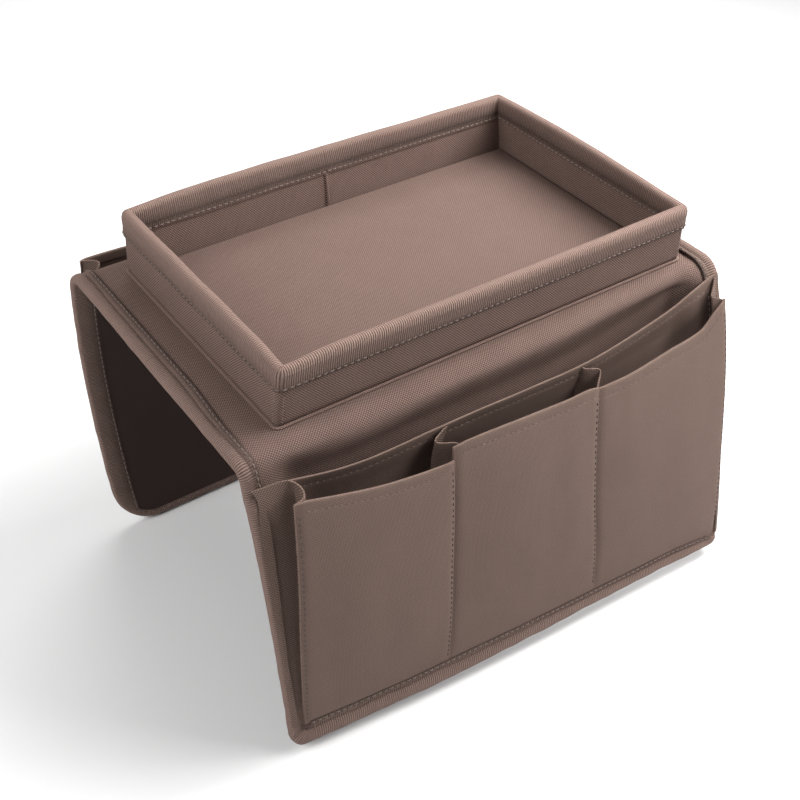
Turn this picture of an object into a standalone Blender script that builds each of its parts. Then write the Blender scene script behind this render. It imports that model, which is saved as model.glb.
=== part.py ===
"""Armrest organizer: a cloth saddle that hangs over a sofa arm, with a walled tray on top and
gusseted pockets on both sides.

Metres, +Z up. X runs along the arm, -Y faces the side with three pockets. The origin is the
middle of the underside of the top, where the saddle rests on the arm.

Every sheet is worked out flat, as it is cut, and then laid over the saddle's profile. A place on
a sheet is (x, s, o): x along the arm, s down the profile from the middle of the top, and o out
from the outer face of the saddle cloth, so that the layers under the cloth have a negative o."""

import math

import bpy
import bmesh
from mathutils import Vector

# Tray on top of the saddle
TRAY_LENGTH = 0.274
TRAY_WIDTH = 0.168
TRAY_HEIGHT = 0.036
TRAY_SHIFT_X = 0.005
TRAY_SHIFT_Y = -0.0025
TRAY_CORNER_RADIUS = 0.003
TRAY_CLOTH = 0.0008
TRAY_BOARD = 0.0020
TRAY_LINING = 0.0008
TRAY_FOOT = 0.0015
TRAY_FLOOR_BOARD = 0.0015
TRAY_FLOOR_CLOTH = 0.0008

# Saddle: the strips that stay bare beside the tray, the bends and the two flaps
END_STRIP = 0.023
SIDE_STRIP = 0.0035
SADDLE_WIDTH = TRAY_LENGTH + 2 * END_STRIP
TOP_SPAN = TRAY_WIDTH + 2 * SIDE_STRIP
SHOULDER_RADIUS = 0.015
FLAP_LENGTH = 0.187
NEAR_LEAN = math.radians(11.5)
FAR_FLARE = math.radians(16)
FAR_CURL = math.radians(40)
NEAR_CORNER_RADIUS = 0.012
FAR_CORNER_RADIUS = 0.028

# Layers, from the outside in, and the clearance between neighbours
CLOTH = 0.0010
BOARD = 0.0015
LINING = 0.0008
POCKET_CLOTH = 0.0008
GAP = 0.0003

# Edge binding: a tape folded over every raw edge
BINDING_WIDTH = 0.011
TAPE = 0.0008

# Near side: a full-width magazine pocket behind three gusseted pockets
MAGAZINE_TOP = 0.0085
MAGAZINE_BULGE = 0.0065
NEAR_MOUTH = 0.017
NEAR_DEPTH = 0.017
NEAR_FRONTS = ("left", "middle", "right")

# Far side: two gusseted pockets
FAR_MOUTH = 0.003
FAR_DEPTH = 0.0155
FAR_FRONTS = ("left", "right")

# Gussets: strips with a fold, from the pocket's back to its front
GUSSET_INSET = 0.0025
GUSSET_FOLD = 0.009
GUSSET_LEAST_DEPTH = 0.0055
FOLD_BACK_SHARE = 0.36
FOLD_FRONT_SHARE = 0.64
END_FOLD_SHARE = 0.5
POCKET_BULGE_POWER = 0.7

# How finely curved stretches are divided
SHOULDER_STEPS = 7
BOW_STEPS = 9
CORNER_STEPS = 5
POCKET_STEPS = 7
ACROSS_STEPS = 8
TRAY_CORNER_STEPS = 3
SMOOTH_ANGLE = math.radians(35)

# Colours
TAUPE = (0.165, 0.115, 0.090, 1.0)
TAUPE_FRONT = (0.185, 0.130, 0.103, 1.0)
TAPE_BROWN = (0.150, 0.103, 0.080, 1.0)
LINING_BROWN = (0.040, 0.029, 0.022, 1.0)
BOARD_GREY = (0.30, 0.29, 0.27, 1.0)
CLOTH_ROUGHNESS = 0.88
LINING_ROUGHNESS = 0.65
BOARD_ROUGHNESS = 0.75

# Sizes that follow from the ones above
SANDWICH = CLOTH + GAP + BOARD + GAP + LINING
BOARD_FACE = -(CLOTH + GAP)
BOARD_BACK = BOARD_FACE - BOARD
LINING_FACE = BOARD_BACK - GAP
HALF_WIDTH = SADDLE_WIDTH / 2
CUT_EDGE = HALF_WIDTH - TAPE - GAP
LINING_EDGE = HALF_WIDTH - BINDING_WIDTH - GAP
SHOULDER_START = TOP_SPAN / 2
MAGAZINE_FACE = GAP + POCKET_CLOTH


class Hang:
    """One side of the saddle's profile: flat top, round shoulder, then a straight or bowed flap."""

    def __init__(self, side, turn, curl, corner_radius):
        self.side = side
        self.turn = turn
        self.curl = curl
        self.corner_radius = corner_radius
        self.flap_start = SHOULDER_START + SHOULDER_RADIUS * turn
        self.flap_end = self.flap_start + FLAP_LENGTH
        self.hinge = self.profile(SHOULDER_START + SHOULDER_RADIUS * turn / 2, -SANDWICH / 2)

    def profile(self, s, o):
        """Y (outwards) and Z of the place s down the profile and o out from the cloth."""
        if s <= SHOULDER_START:
            return s, SANDWICH + o
        bend_z = SANDWICH - SHOULDER_RADIUS
        if s <= self.flap_start:
            angle = (s - SHOULDER_START) / SHOULDER_RADIUS
            reach = SHOULDER_RADIUS + o
            return SHOULDER_START + reach * math.sin(angle), bend_z + reach * math.cos(angle)
        start_y = SHOULDER_START + SHOULDER_RADIUS * math.sin(self.turn)
        start_z = bend_z + SHOULDER_RADIUS * math.cos(self.turn)
        along = s - self.flap_start
        if self.curl == 0:
            y = start_y + along * math.cos(self.turn) + o * math.sin(self.turn)
            z = start_z - along * math.sin(self.turn) + o * math.cos(self.turn)
            return y, z
        bow_radius = FLAP_LENGTH / self.curl
        angle = self.turn + along / bow_radius
        y = start_y - bow_radius * math.sin(self.turn) + (bow_radius + o) * math.sin(angle)
        z = start_z - bow_radius * math.cos(self.turn) + (bow_radius + o) * math.cos(angle)
        return y, z

    def place(self, x, s, o):
        y, z = self.profile(s, o)
        return Vector((x, self.side * y, z))

    def rows(self, first, last):
        """Values of s from first to last, with a row wherever the profile's facets meet.

        All layers of a bend share these rows, so their facets stay parallel."""
        shoulder = SHOULDER_RADIUS * self.turn
        bends = [SHOULDER_START + shoulder * i / SHOULDER_STEPS for i in range(SHOULDER_STEPS + 1)]
        if self.curl:
            bends += [self.flap_start + FLAP_LENGTH * i / BOW_STEPS for i in range(1, BOW_STEPS)]
        return [first] + [s for s in bends if first + GAP < s < last - GAP] + [last]


NEAR = Hang(-1, math.pi / 2 - NEAR_LEAN, 0, NEAR_CORNER_RADIUS)
FAR = Hang(1, math.pi / 2 - FAR_FLARE, FAR_CURL, FAR_CORNER_RADIUS)


def clear_scene():
    for thing in list(bpy.data.objects):
        bpy.data.objects.remove(thing)


def make_pivot(name, place, carrier=None):
    """An empty on a joint's axis, with its place in the world."""
    pivot = bpy.data.objects.new(name, None)
    bpy.context.scene.collection.objects.link(pivot)
    pivot["world"] = tuple(place)
    pivot.location = Vector(place)
    if carrier:
        pivot.parent = carrier
        pivot.location = Vector(place) - Vector(carrier["world"])
    return pivot


def finish_for(name, colour, roughness):
    material = bpy.data.materials.new(name + "_finish")
    material.use_nodes = True
    shader = material.node_tree.nodes["Principled BSDF"]
    shader.inputs["Base Color"].default_value = colour
    shader.inputs["Roughness"].default_value = roughness
    shader.inputs["Metallic"].default_value = 0
    return material


def add_piece(name, rings, colour, roughness, carrier=None, loop=False):
    """Joins rings of points, one after another, into one closed body.

    Each ring is a closed outline in order. With loop the last ring joins the first; otherwise
    both end rings are capped."""
    origin = Vector(carrier["world"]) if carrier else Vector()
    shape = bmesh.new()
    made = [[shape.verts.new(point - origin) for point in ring] for ring in rings]
    pairs = list(zip(made, made[1:]))
    if loop:
        pairs.append((made[-1], made[0]))
    for ring, following in pairs:
        count = len(ring)
        for i in range(count):
            corner = (i + 1) % count
            shape.faces.new((ring[i], ring[corner], following[corner], following[i]))
    if not loop:
        shape.faces.new(list(reversed(made[0])))
        shape.faces.new(made[-1])
    bmesh.ops.recalc_face_normals(shape, faces=shape.faces)
    mesh = bpy.data.meshes.new(name)
    shape.to_mesh(mesh)
    shape.free()
    mesh.shade_smooth()
    mesh.set_sharp_from_angle(angle=SMOOTH_ANGLE)
    piece = bpy.data.objects.new(name, mesh)
    piece.data.materials.append(finish_for(name, colour, roughness))
    bpy.context.scene.collection.objects.link(piece)
    if carrier:
        piece.parent = carrier
    return piece


def layer_ring(hang, s, left, right, low, high):
    """Cross-section of a plain sheet between x left and right and o low and high."""
    corners = ((left, low), (right, low), (right, high), (left, high))
    return [hang.place(x, s, o) for x, o in corners]


def rounded_rows(hang, first, last, radius):
    """Rows down a flap panel whose two lower corners are round, with the inset of each row."""
    rows = [(s, 0) for s in hang.rows(first, last - radius)]
    for i in range(1, CORNER_STEPS + 1):
        angle = math.pi / 2 * i / CORNER_STEPS
        rows.append((last - radius + radius * math.sin(angle), radius * (1 - math.cos(angle))))
    return rows


def flap_layer(name, hang, half_width, last, radius, low, high, look, carrier):
    """One layer of a flap: the cloth, the board or the lining."""
    first = hang.flap_start + GAP / 2
    rings = [
        layer_ring(hang, s, inset - half_width, half_width - inset, low, high)
        for s, inset in rounded_rows(hang, first, last, radius)
    ]
    return add_piece(name, rings, *look, carrier)


def tape_section(face):
    """U section of a folded tape, as (e, o): e runs out from the cut edge of the layers."""
    lip = GAP + TAPE - BINDING_WIDTH
    fold = GAP + TAPE
    back = BOARD_BACK - GAP
    front = face + GAP
    return (
        (lip, back),
        (lip, back - TAPE),
        (fold, back - TAPE),
        (fold, front + TAPE),
        (lip, front + TAPE),
        (lip, front),
        (GAP, front),
        (GAP, back),
    )


def edge_tape(name, hang, path, face, carrier=None):
    """A binding along path, a list of (x, s, nx, ns) with (nx, ns) pointing out of the panel."""
    section = tape_section(face)
    rings = [
        [hang.place(x + e * nx, s + e * ns, o) for e, o in section] for x, s, nx, ns in path
    ]
    return add_piece(name, rings, TAPE_BROWN, CLOTH_ROUGHNESS, carrier)


def straight_tape(name, hang, end, first, last, face):
    path = [(end * CUT_EDGE, s, end, 0) for s in hang.rows(first, last)]
    return edge_tape(name, hang, path, face)


def flap_tape(name, hang, face, carrier):
    """The binding down one side of a flap, along its bottom and up the other side."""
    radius = hang.corner_radius - TAPE - GAP
    bottom = hang.flap_end - TAPE - GAP
    side = hang.rows(hang.flap_start + GAP / 2, bottom - radius)
    right = [(CUT_EDGE, s, 1, 0) for s in side]
    for i in range(1, CORNER_STEPS + 1):
        angle = math.pi / 2 * i / CORNER_STEPS
        across, down = math.cos(angle), math.sin(angle)
        x = CUT_EDGE - radius + radius * across
        right.append((x, bottom - radius + radius * down, across, down))
    left = [(-x, s, -nx, ns) for x, s, nx, ns in reversed(right)]
    return edge_tape(name, hang, right + left, face, carrier)


def add_saddle_top():
    """The flat part of the saddle: cloth, board, lining and the tapes on its two ends."""
    reach = SHOULDER_START - GAP / 2
    layers = (
        ("top_cloth", CUT_EDGE, -CLOTH, 0, TAUPE, CLOTH_ROUGHNESS),
        ("top_board", CUT_EDGE, BOARD_BACK, BOARD_FACE, BOARD_GREY, BOARD_ROUGHNESS),
        ("top_lining", LINING_EDGE, -SANDWICH, LINING_FACE, LINING_BROWN, LINING_ROUGHNESS),
    )
    for name, edge, low, high, colour, roughness in layers:
        rings = [layer_ring(NEAR, s, -edge, edge, low, high) for s in (-reach, reach)]
        add_piece(name, rings, colour, roughness)
    for name, end in (("top_binding_left", -1), ("top_binding_right", 1)):
        straight_tape(name, NEAR, end, -reach, reach, 0)


def add_shoulder(label, hang):
    """The bend between the top and a flap, where only cloth, lining and tapes run through."""
    first = SHOULDER_START + GAP / 2
    last = hang.flap_start - GAP / 2
    layers = (
        ("cloth", CUT_EDGE, -CLOTH, 0, TAUPE, CLOTH_ROUGHNESS),
        ("lining", LINING_EDGE, -SANDWICH, LINING_FACE, LINING_BROWN, LINING_ROUGHNESS),
    )
    for layer, edge, low, high, colour, roughness in layers:
        rings = [layer_ring(hang, s, -edge, edge, low, high) for s in hang.rows(first, last)]
        add_piece(f"{label}_shoulder_{layer}", rings, colour, roughness)
    for end_name, end in (("left", -1), ("right", 1)):
        straight_tape(f"{label}_shoulder_binding_{end_name}", hang, end, first, last, 0)


def add_flap(label, hang, face, carrier):
    """A hanging flap: cloth, board, lining and the tape round its three free edges."""
    bottom = hang.flap_end - TAPE - GAP
    radius = hang.corner_radius - TAPE - GAP
    cloth_look = (TAUPE, CLOTH_ROUGHNESS)
    board_look = (BOARD_GREY, BOARD_ROUGHNESS)
    lining_look = (LINING_BROWN, LINING_ROUGHNESS)
    flap_layer(f"{label}_flap_cloth", hang, CUT_EDGE, bottom, radius, -CLOTH, 0, cloth_look, carrier)
    flap_layer(
        f"{label}_flap_board", hang, CUT_EDGE, bottom, radius, BOARD_BACK, BOARD_FACE, board_look, carrier
    )
    lining_bottom = hang.flap_end - BINDING_WIDTH - GAP
    lining_radius = hang.corner_radius - BINDING_WIDTH - GAP
    flap_layer(
        f"{label}_flap_lining", hang, LINING_EDGE, lining_bottom, lining_radius,
        -SANDWICH, LINING_FACE, lining_look, carrier,
    )
    flap_tape(f"{label}_flap_binding", hang, face, carrier)


def magazine_offset(x, s):
    """How far the inner face of the magazine panel stands off the flap cloth."""
    top = NEAR.flap_start + MAGAZINE_TOP
    bottom = NEAR.flap_end - BINDING_WIDTH
    down = min(1, max(0, (s - top) / (bottom - top)))
    across = min(1, abs(x) / LINING_EDGE)
    return GAP + MAGAZINE_BULGE * (1 - across**2) * (1 - down)


def add_magazine_panel(carrier):
    """The back panel of the near pockets, held under the tape on three sides."""
    top = NEAR.flap_start + MAGAZINE_TOP
    bottom = NEAR.flap_end - TAPE - GAP
    radius = NEAR.corner_radius - TAPE - GAP
    height = bottom - radius - top
    free_rows = [(top + height * i / POCKET_STEPS, 0) for i in range(POCKET_STEPS)]
    rings = []
    for s, inset in free_rows + rounded_rows(NEAR, bottom - radius, bottom, radius):
        columns = [-LINING_EDGE + 2 * LINING_EDGE * i / ACROSS_STEPS for i in range(ACROSS_STEPS + 1)]
        columns = [inset - CUT_EDGE] + columns + [CUT_EDGE - inset]
        inner = [NEAR.place(x, s, magazine_offset(x, s)) for x in columns]
        outer = [NEAR.place(x, s, magazine_offset(x, s) + POCKET_CLOTH) for x in columns]
        rings.append(inner + outer[::-1])
    add_piece("near_magazine_panel", rings, TAUPE, CLOTH_ROUGHNESS, carrier)


class PocketRow:
    """A run of pockets side by side on one flap, with the shape of its fronts."""

    def __init__(self, label, hang, mouth, depth, names, back_face):
        self.label = label
        self.hang = hang
        self.names = names
        self.mouth = hang.flap_start + mouth
        self.foot = hang.flap_end - BINDING_WIDTH - GAP - GAP / 2
        self.depth = depth
        self.foot_offset = back_face + GAP
        self.hinge = hang.profile(self.foot, self.foot_offset + POCKET_CLOTH / 2)
        self.corner = hang.corner_radius - BINDING_WIDTH - GAP - GAP / 2
        self.levels = self.find_levels()

    def find_levels(self):
        """Rows from the mouth down, closer together towards the foot, where the front curves."""
        steps = [i / POCKET_STEPS for i in range(1, POCKET_STEPS)]
        height = self.foot - self.mouth
        own = [self.mouth + height * (1 - (1 - u) ** 2) for u in steps]
        bends = self.hang.rows(self.mouth, self.foot)
        if self.corner > POCKET_CLOTH:
            turns = [math.pi / 2 * i / CORNER_STEPS for i in range(CORNER_STEPS)]
            own += [self.foot - self.corner * (1 - math.sin(turn)) for turn in turns]
        return sorted(own + bends)

    def corner_inset(self, s):
        """How far the outer lower corners, which follow the flap's, come in at s."""
        down = s - (self.foot - self.corner)
        if self.corner <= POCKET_CLOTH or down <= 0:
            return 0
        return self.corner - math.sqrt(max(0, self.corner**2 - down**2))

    def bulge(self, s):
        up = (self.foot - s) / (self.foot - self.mouth)
        return self.foot_offset + (self.depth - self.foot_offset) * up**POCKET_BULGE_POWER

    def front_offset(self, s):
        """How far the inner face of the fronts stands off the flap cloth, between two rows."""
        for above, below in zip(self.levels, self.levels[1:]):
            if s <= below:
                share = (s - above) / (below - above)
                return self.bulge(above) + (self.bulge(below) - self.bulge(above)) * share
        return self.foot_offset

    def back_offset(self, x, s):
        """Outer face of what the pockets open against."""
        if self.hang is NEAR:
            return magazine_offset(x, s) + POCKET_CLOTH
        return 0

    def rows(self, last):
        return [s for s in self.levels if s < last - GAP] + [last]

    def seams(self):
        """X of the seams between and beside the fronts."""
        count = len(self.names)
        return [LINING_EDGE * (2 * i / count - 1) for i in range(count + 1)]

    def gusset_foot(self, x):
        """The lowest s at which the pocket is still deep enough for a folded strip."""
        low, high = self.mouth, self.foot
        while high - low > GAP:
            middle = (low + high) / 2
            if self.front_offset(middle) - self.back_offset(x, middle) > GUSSET_LEAST_DEPTH:
                low = middle
            else:
                high = middle
        return low

    def add_front(self, name, left, right, carrier):
        rings = []
        for s in self.levels:
            inner = self.front_offset(s)
            inset = LINING_EDGE - self.corner_inset(s) - GAP / 2
            low, high = max(left, -inset), min(right, inset)
            rings.append(layer_ring(self.hang, s, low, high, inner, inner + POCKET_CLOTH))
        add_piece(name, rings, TAUPE_FRONT, CLOTH_ROUGHNESS, carrier)

    def add_gusset(self, name, x, folds, carrier):
        """A strip of cloth that runs from the back to the fronts at x, with its folds as
        (share of the depth, distance along x)."""
        rings = []
        for s in self.rows(self.gusset_foot(x)):
            front = self.front_offset(s) - GAP
            line = []
            for share, aside in ((0, 0), *folds, (1, 0)):
                back = self.back_offset(x + aside, s) + GAP
                line.append((x + aside, back + (front - back) * share))
            rings.append([self.hang.place(a, s, b) for a, b in thicken(line, POCKET_CLOTH)])
        add_piece(name, rings, TAUPE, CLOTH_ROUGHNESS, carrier)

    def add_all(self, flap_pivot, front_pivot):
        seams = self.seams()
        for name, left, right in zip(self.names, seams, seams[1:]):
            inner_left = left + GAP / 2
            inner_right = right - GAP / 2
            self.add_front(f"{self.label}_pocket_front_{name}", inner_left, inner_right, front_pivot)
        ends = (("left", seams[0], 1), ("right", seams[-1], -1))
        for name, edge, inwards in ends:
            folds = ((END_FOLD_SHARE, inwards * GUSSET_FOLD),)
            x = edge + inwards * GUSSET_INSET
            self.add_gusset(f"{self.label}_end_gusset_{name}", x, folds, flap_pivot)
        inner_seams = seams[1:-1]
        for number, x in enumerate(inner_seams, 1):
            folds = ((FOLD_BACK_SHARE, -GUSSET_FOLD), (FOLD_FRONT_SHARE, GUSSET_FOLD))
            label = f"_{number}" if len(inner_seams) > 1 else ""
            self.add_gusset(f"{self.label}_divider_gusset{label}", x, folds, flap_pivot)


def thicken(line, thickness):
    """Outline of an open line of (x, o) points given a thickness, square at its two ends."""
    points = [Vector(point) for point in line]
    ways = [(b - a).normalized() for a, b in zip(points, points[1:])]
    sides = [Vector((-way.y, way.x)) for way in ways]
    offsets = []
    for i in range(len(points)):
        before = sides[max(i - 1, 0)]
        after = sides[min(i, len(sides) - 1)]
        mitre = (before + after).normalized()
        offsets.append(mitre * (thickness / 2 / mitre.dot(after)))
    # The two ends are cut level with what they meet
    for end, way in ((0, ways[0]), (-1, ways[-1])):
        side = offsets[end]
        offsets[end] = Vector((side.x - way.x * side.y / way.y, 0))
    left = [point + offset for point, offset in zip(points, offsets)]
    right = [point - offset for point, offset in zip(points, offsets)]
    return [tuple(point) for point in left + right[::-1]]


def tray_outline(out):
    """Round-cornered outline of the tray, moved out by a distance."""
    radius = max(TRAY_CORNER_RADIUS + out, GAP)
    half_length = TRAY_LENGTH / 2 + out - radius
    half_width = TRAY_WIDTH / 2 + out - radius
    points = []
    for quarter, (way_x, way_y) in enumerate(((1, 1), (-1, 1), (-1, -1), (1, -1))):
        for i in range(TRAY_CORNER_STEPS + 1):
            angle = math.pi / 2 * (quarter + i / TRAY_CORNER_STEPS)
            x = way_x * half_length + radius * math.cos(angle)
            y = way_y * half_width + radius * math.sin(angle)
            points.append((TRAY_SHIFT_X + x, TRAY_SHIFT_Y + y))
    return points


def tray_ring(name, section, colour, roughness):
    """A closed band round the tray, from its section as (distance out, z)."""
    outlines = [(tray_outline(out), z) for out, z in section]
    count = len(outlines[0][0])
    rings = [[Vector((*line[i], z)) for line, z in outlines] for i in range(count)]
    return add_piece(name, rings, colour, roughness, loop=True)


def tray_slab(name, out, low, high, colour, roughness):
    rings = [[Vector((x, y, z)) for x, y in tray_outline(out)] for z in (low, high)]
    return add_piece(name, rings, colour, roughness)


def add_wall_boards(base, top):
    """Four stiff boards between the tray's outer cloth and its lining."""
    outer = TRAY_CLOTH + GAP
    inner = outer + TRAY_BOARD
    half_length = TRAY_LENGTH / 2
    half_width = TRAY_WIDTH / 2
    trim = TRAY_CORNER_RADIUS
    boards = (
        ("near", trim - half_length, half_length - trim, outer - half_width, inner - half_width),
        ("far", trim - half_length, half_length - trim, half_width - inner, half_width - outer),
        ("left", outer - half_length, inner - half_length, trim - half_width, half_width - trim),
        ("right", half_length - inner, half_length - outer, trim - half_width, half_width - trim),
    )
    for name, x_low, x_high, y_low, y_high in boards:
        if name in ("left", "right"):
            y_low += inner - trim + GAP
            y_high -= inner - trim + GAP
        rings = [
            [
                Vector((TRAY_SHIFT_X + x, TRAY_SHIFT_Y + y, z))
                for x, y in ((x_low, y_low), (x_high, y_low), (x_high, y_high), (x_low, y_high))
            ]
            for z in (base, top)
        ]
        add_piece(f"tray_wall_board_{name}", rings, BOARD_GREY, BOARD_ROUGHNESS)


def add_tray():
    base = SANDWICH + GAP
    top = SANDWICH + TRAY_HEIGHT - TAPE - GAP
    lining_out = -(TRAY_CLOTH + GAP + TRAY_BOARD + GAP)
    lining_in = lining_out - TRAY_LINING
    outer_cloth = (
        (-TRAY_CLOTH, base),
        (TRAY_FOOT, base),
        (TRAY_FOOT, base + TRAY_CLOTH),
        (0, base + TRAY_CLOTH),
        (0, top),
        (-TRAY_CLOTH, top),
    )
    tray_ring("tray_outer_cloth", outer_cloth, TAUPE, CLOTH_ROUGHNESS)
    lining = ((lining_in, base), (lining_out, base), (lining_out, top), (lining_in, top))
    tray_ring("tray_lining", lining, TAUPE, CLOTH_ROUGHNESS)
    add_wall_boards(base, top)
    rim_bottom = SANDWICH + TRAY_HEIGHT - BINDING_WIDTH
    rim = (
        (GAP, rim_bottom),
        (GAP + TAPE, rim_bottom),
        (GAP + TAPE, top + GAP + TAPE),
        (lining_in - GAP - TAPE, top + GAP + TAPE),
        (lining_in - GAP - TAPE, rim_bottom),
        (lining_in - GAP, rim_bottom),
        (lining_in - GAP, top + GAP),
        (GAP, top + GAP),
    )
    tray_ring("tray_rim_binding", rim, TAPE_BROWN, CLOTH_ROUGHNESS)
    floor_edge = lining_in - GAP
    board_top = base + TRAY_FLOOR_BOARD
    cloth_base = board_top + GAP
    cloth_top = cloth_base + TRAY_FLOOR_CLOTH
    tray_slab("tray_floor_board", floor_edge, base, board_top, BOARD_GREY, BOARD_ROUGHNESS)
    tray_slab("tray_floor_cloth", floor_edge, cloth_base, cloth_top, TAUPE, CLOTH_ROUGHNESS)


def hinge_place(hang, hinge):
    y, z = hinge
    return 0, hang.side * y, z


def build():
    clear_scene()
    add_saddle_top()
    add_tray()
    near_pockets = PocketRow("near", NEAR, NEAR_MOUTH, NEAR_DEPTH, NEAR_FRONTS, MAGAZINE_FACE)
    far_pockets = PocketRow("far", FAR, FAR_MOUTH, FAR_DEPTH, FAR_FRONTS, 0)
    for pockets, face in ((near_pockets, MAGAZINE_FACE), (far_pockets, 0)):
        label, hang = pockets.label, pockets.hang
        add_shoulder(label, hang)
        flap_pivot = make_pivot(f"{label}_flap_pivot", hinge_place(hang, hang.hinge))
        front_place = hinge_place(hang, pockets.hinge)
        front_pivot = make_pivot(f"{label}_pocket_pivot", front_place, flap_pivot)
        add_flap(label, hang, face, flap_pivot)
        pockets.add_all(flap_pivot, front_pivot)
        print(label, "flap hinge", [round(v, 6) for v in flap_pivot["world"]])
        print(label, "pocket hinge", [round(v, 6) for v in front_pivot["world"]])
        if hang is NEAR:
            add_magazine_panel(flap_pivot)


build()
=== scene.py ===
# %% [markdown]
# # An armrest organizer, dressed in cloth
# A cloth saddle hangs over the arm of a sofa. It carries a shallow tray on top, three pockets on the
# near side and two on the far side. The CAD model already knows every size, joint and solid, so we
# load it as a fixed frame. What follows replaces its plain solids with sheets, tapes and stitches.

# %% Load the frame
import math
from functools import partial

import bpy
import bmesh
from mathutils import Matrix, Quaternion, Vector, noise


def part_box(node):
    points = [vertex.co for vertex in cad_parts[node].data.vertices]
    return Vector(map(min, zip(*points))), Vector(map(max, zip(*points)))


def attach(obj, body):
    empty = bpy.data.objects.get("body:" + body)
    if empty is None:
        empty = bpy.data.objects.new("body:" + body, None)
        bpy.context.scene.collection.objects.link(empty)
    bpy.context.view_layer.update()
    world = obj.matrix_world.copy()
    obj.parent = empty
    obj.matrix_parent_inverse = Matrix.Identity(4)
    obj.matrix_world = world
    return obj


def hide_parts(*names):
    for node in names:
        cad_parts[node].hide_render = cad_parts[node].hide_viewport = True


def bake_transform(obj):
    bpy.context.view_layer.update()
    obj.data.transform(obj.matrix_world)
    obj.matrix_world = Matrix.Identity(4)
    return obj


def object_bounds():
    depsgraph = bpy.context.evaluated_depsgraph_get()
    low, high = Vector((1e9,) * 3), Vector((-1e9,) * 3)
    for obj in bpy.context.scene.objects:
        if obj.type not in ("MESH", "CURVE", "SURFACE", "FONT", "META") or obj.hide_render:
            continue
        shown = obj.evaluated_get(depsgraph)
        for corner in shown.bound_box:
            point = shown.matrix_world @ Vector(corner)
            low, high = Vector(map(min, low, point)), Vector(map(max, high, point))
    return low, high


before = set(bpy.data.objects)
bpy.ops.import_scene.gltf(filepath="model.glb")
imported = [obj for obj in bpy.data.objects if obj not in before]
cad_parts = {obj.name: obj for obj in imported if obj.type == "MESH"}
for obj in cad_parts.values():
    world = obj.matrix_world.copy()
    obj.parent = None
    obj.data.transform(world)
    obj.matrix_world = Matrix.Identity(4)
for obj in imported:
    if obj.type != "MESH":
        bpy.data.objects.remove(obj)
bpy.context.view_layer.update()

# %% [markdown]
# ## The camera
# The photograph was taken from the near left, well above the tray. A long lens keeps the far side
# almost as large as the near side. The place and the turn came from fitting a pinhole camera to the
# corners of the tray and the saddle. We aim the camera by the direction it looks back along, and then
# roll it a little, because the picture is tilted by about one degree.

# %% Camera
CAMERA_PLACE = (-0.34090, -0.47867, 0.38997)
CAMERA_BACK = (-0.450283, -0.624563, 0.638096)
CAMERA_ROLL = math.radians(1.19)
CAMERA_LENS = 54.23
SENSOR_WIDTH = 36

lens = bpy.data.cameras.new("view")
lens.lens = CAMERA_LENS
lens.sensor_width = SENSOR_WIDTH
camera = bpy.data.objects.new("view", lens)
camera.location = CAMERA_PLACE
camera.rotation_mode = "QUATERNION"
aim = Vector(CAMERA_BACK).to_track_quat("Z", "Y")
camera.rotation_quaternion = aim @ Quaternion((0, 0, 1), CAMERA_ROLL)
bpy.context.scene.collection.objects.link(camera)
bpy.context.scene.camera = camera
print("camera at", CAMERA_PLACE)

# %% [markdown]
# ## Sizes shared with the CAD
# The saddle is a sandwich: outer cloth, stiff board and lining. The main sizes are read from the
# frame, so that the cloth always fits the solids it stands for. A place on the cloth is written
# (x, s, o), as a tailor would lay it out: x along the arm, s down from the middle of the top, and o
# outwards from the outer face of the cloth.

# %% Sizes
GAP = 0.0003
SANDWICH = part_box("top_cloth")[1].z
HALF_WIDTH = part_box("top_binding_right")[1].x
SHOULDER_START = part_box("top_cloth")[1].y + GAP / 2
SHOULDER_RADIUS = 0.015
FLAP_LENGTH = 0.187
CLOTH = 0.0010
BOARD = 0.0015
LINING = 0.0008
POCKET_CLOTH = 0.0008
TAPE = 0.0008
BINDING_WIDTH = 0.011
CUT_EDGE = HALF_WIDTH - TAPE - GAP
BOARD_FACE = -(CLOTH + GAP)
BOARD_BACK = BOARD_FACE - BOARD
LINING_FACE = BOARD_BACK - GAP
BACK_FACE = LINING_FACE - LINING
STITCH_PITCH = 0.00375
print(f"saddle {2 * HALF_WIDTH * 1000:.0f} mm long, sandwich {SANDWICH * 1000:.1f} mm thick")

# %% [markdown]
# ## How the saddle hangs
# Cloth over boards is never quite straight. The near flap bends tighter at its left shoulder and
# hangs closer to the arm there. It bellies out in the middle, its hem rises a little between the
# corners, and the end of the top droops where it reaches past the tray. The far flap is bowed, and
# flatter in mid-length than a circle. A simulation could find such a shape, but it would also move
# the pockets away from their solids. So the shape is a formula that every layer shares, and layers
# never cross.


# %% Curves and steps that the shapes share
def clamp(value, low=0.0, high=1.0):
    return min(high, max(low, value))


def smooth(value):
    """A soft step from 0 to 1, level at both ends."""
    value = clamp(value)
    return value * value * (3 - 2 * value)


def between(pair, share):
    return pair[0] + (pair[1] - pair[0]) * share


def curve_through(points, x):
    """A smooth curve through (x, value) points, flat beyond both ends."""
    if x <= points[0][0]:
        return points[0][1]
    for i, ((x0, v0), (x1, v1)) in enumerate(zip(points, points[1:])):
        if x <= x1:
            before = points[max(i - 1, 0)]
            after = points[min(i + 2, len(points) - 1)]
            slope0 = (v1 - before[1]) / (x1 - before[0])
            slope1 = (after[1] - v0) / (after[0] - x0)
            t = (x - x0) / (x1 - x0)
            span = x1 - x0
            return (v0 * (1 + 2 * t) * (1 - t) ** 2 + v1 * t * t * (3 - 2 * t)
                    + span * slope0 * t * (1 - t) ** 2 - span * slope1 * t * t * (1 - t))
    return points[-1][1]


# %% One side of the saddle
WAVE_START = 0.03
DROOP_END = 0.05


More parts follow.
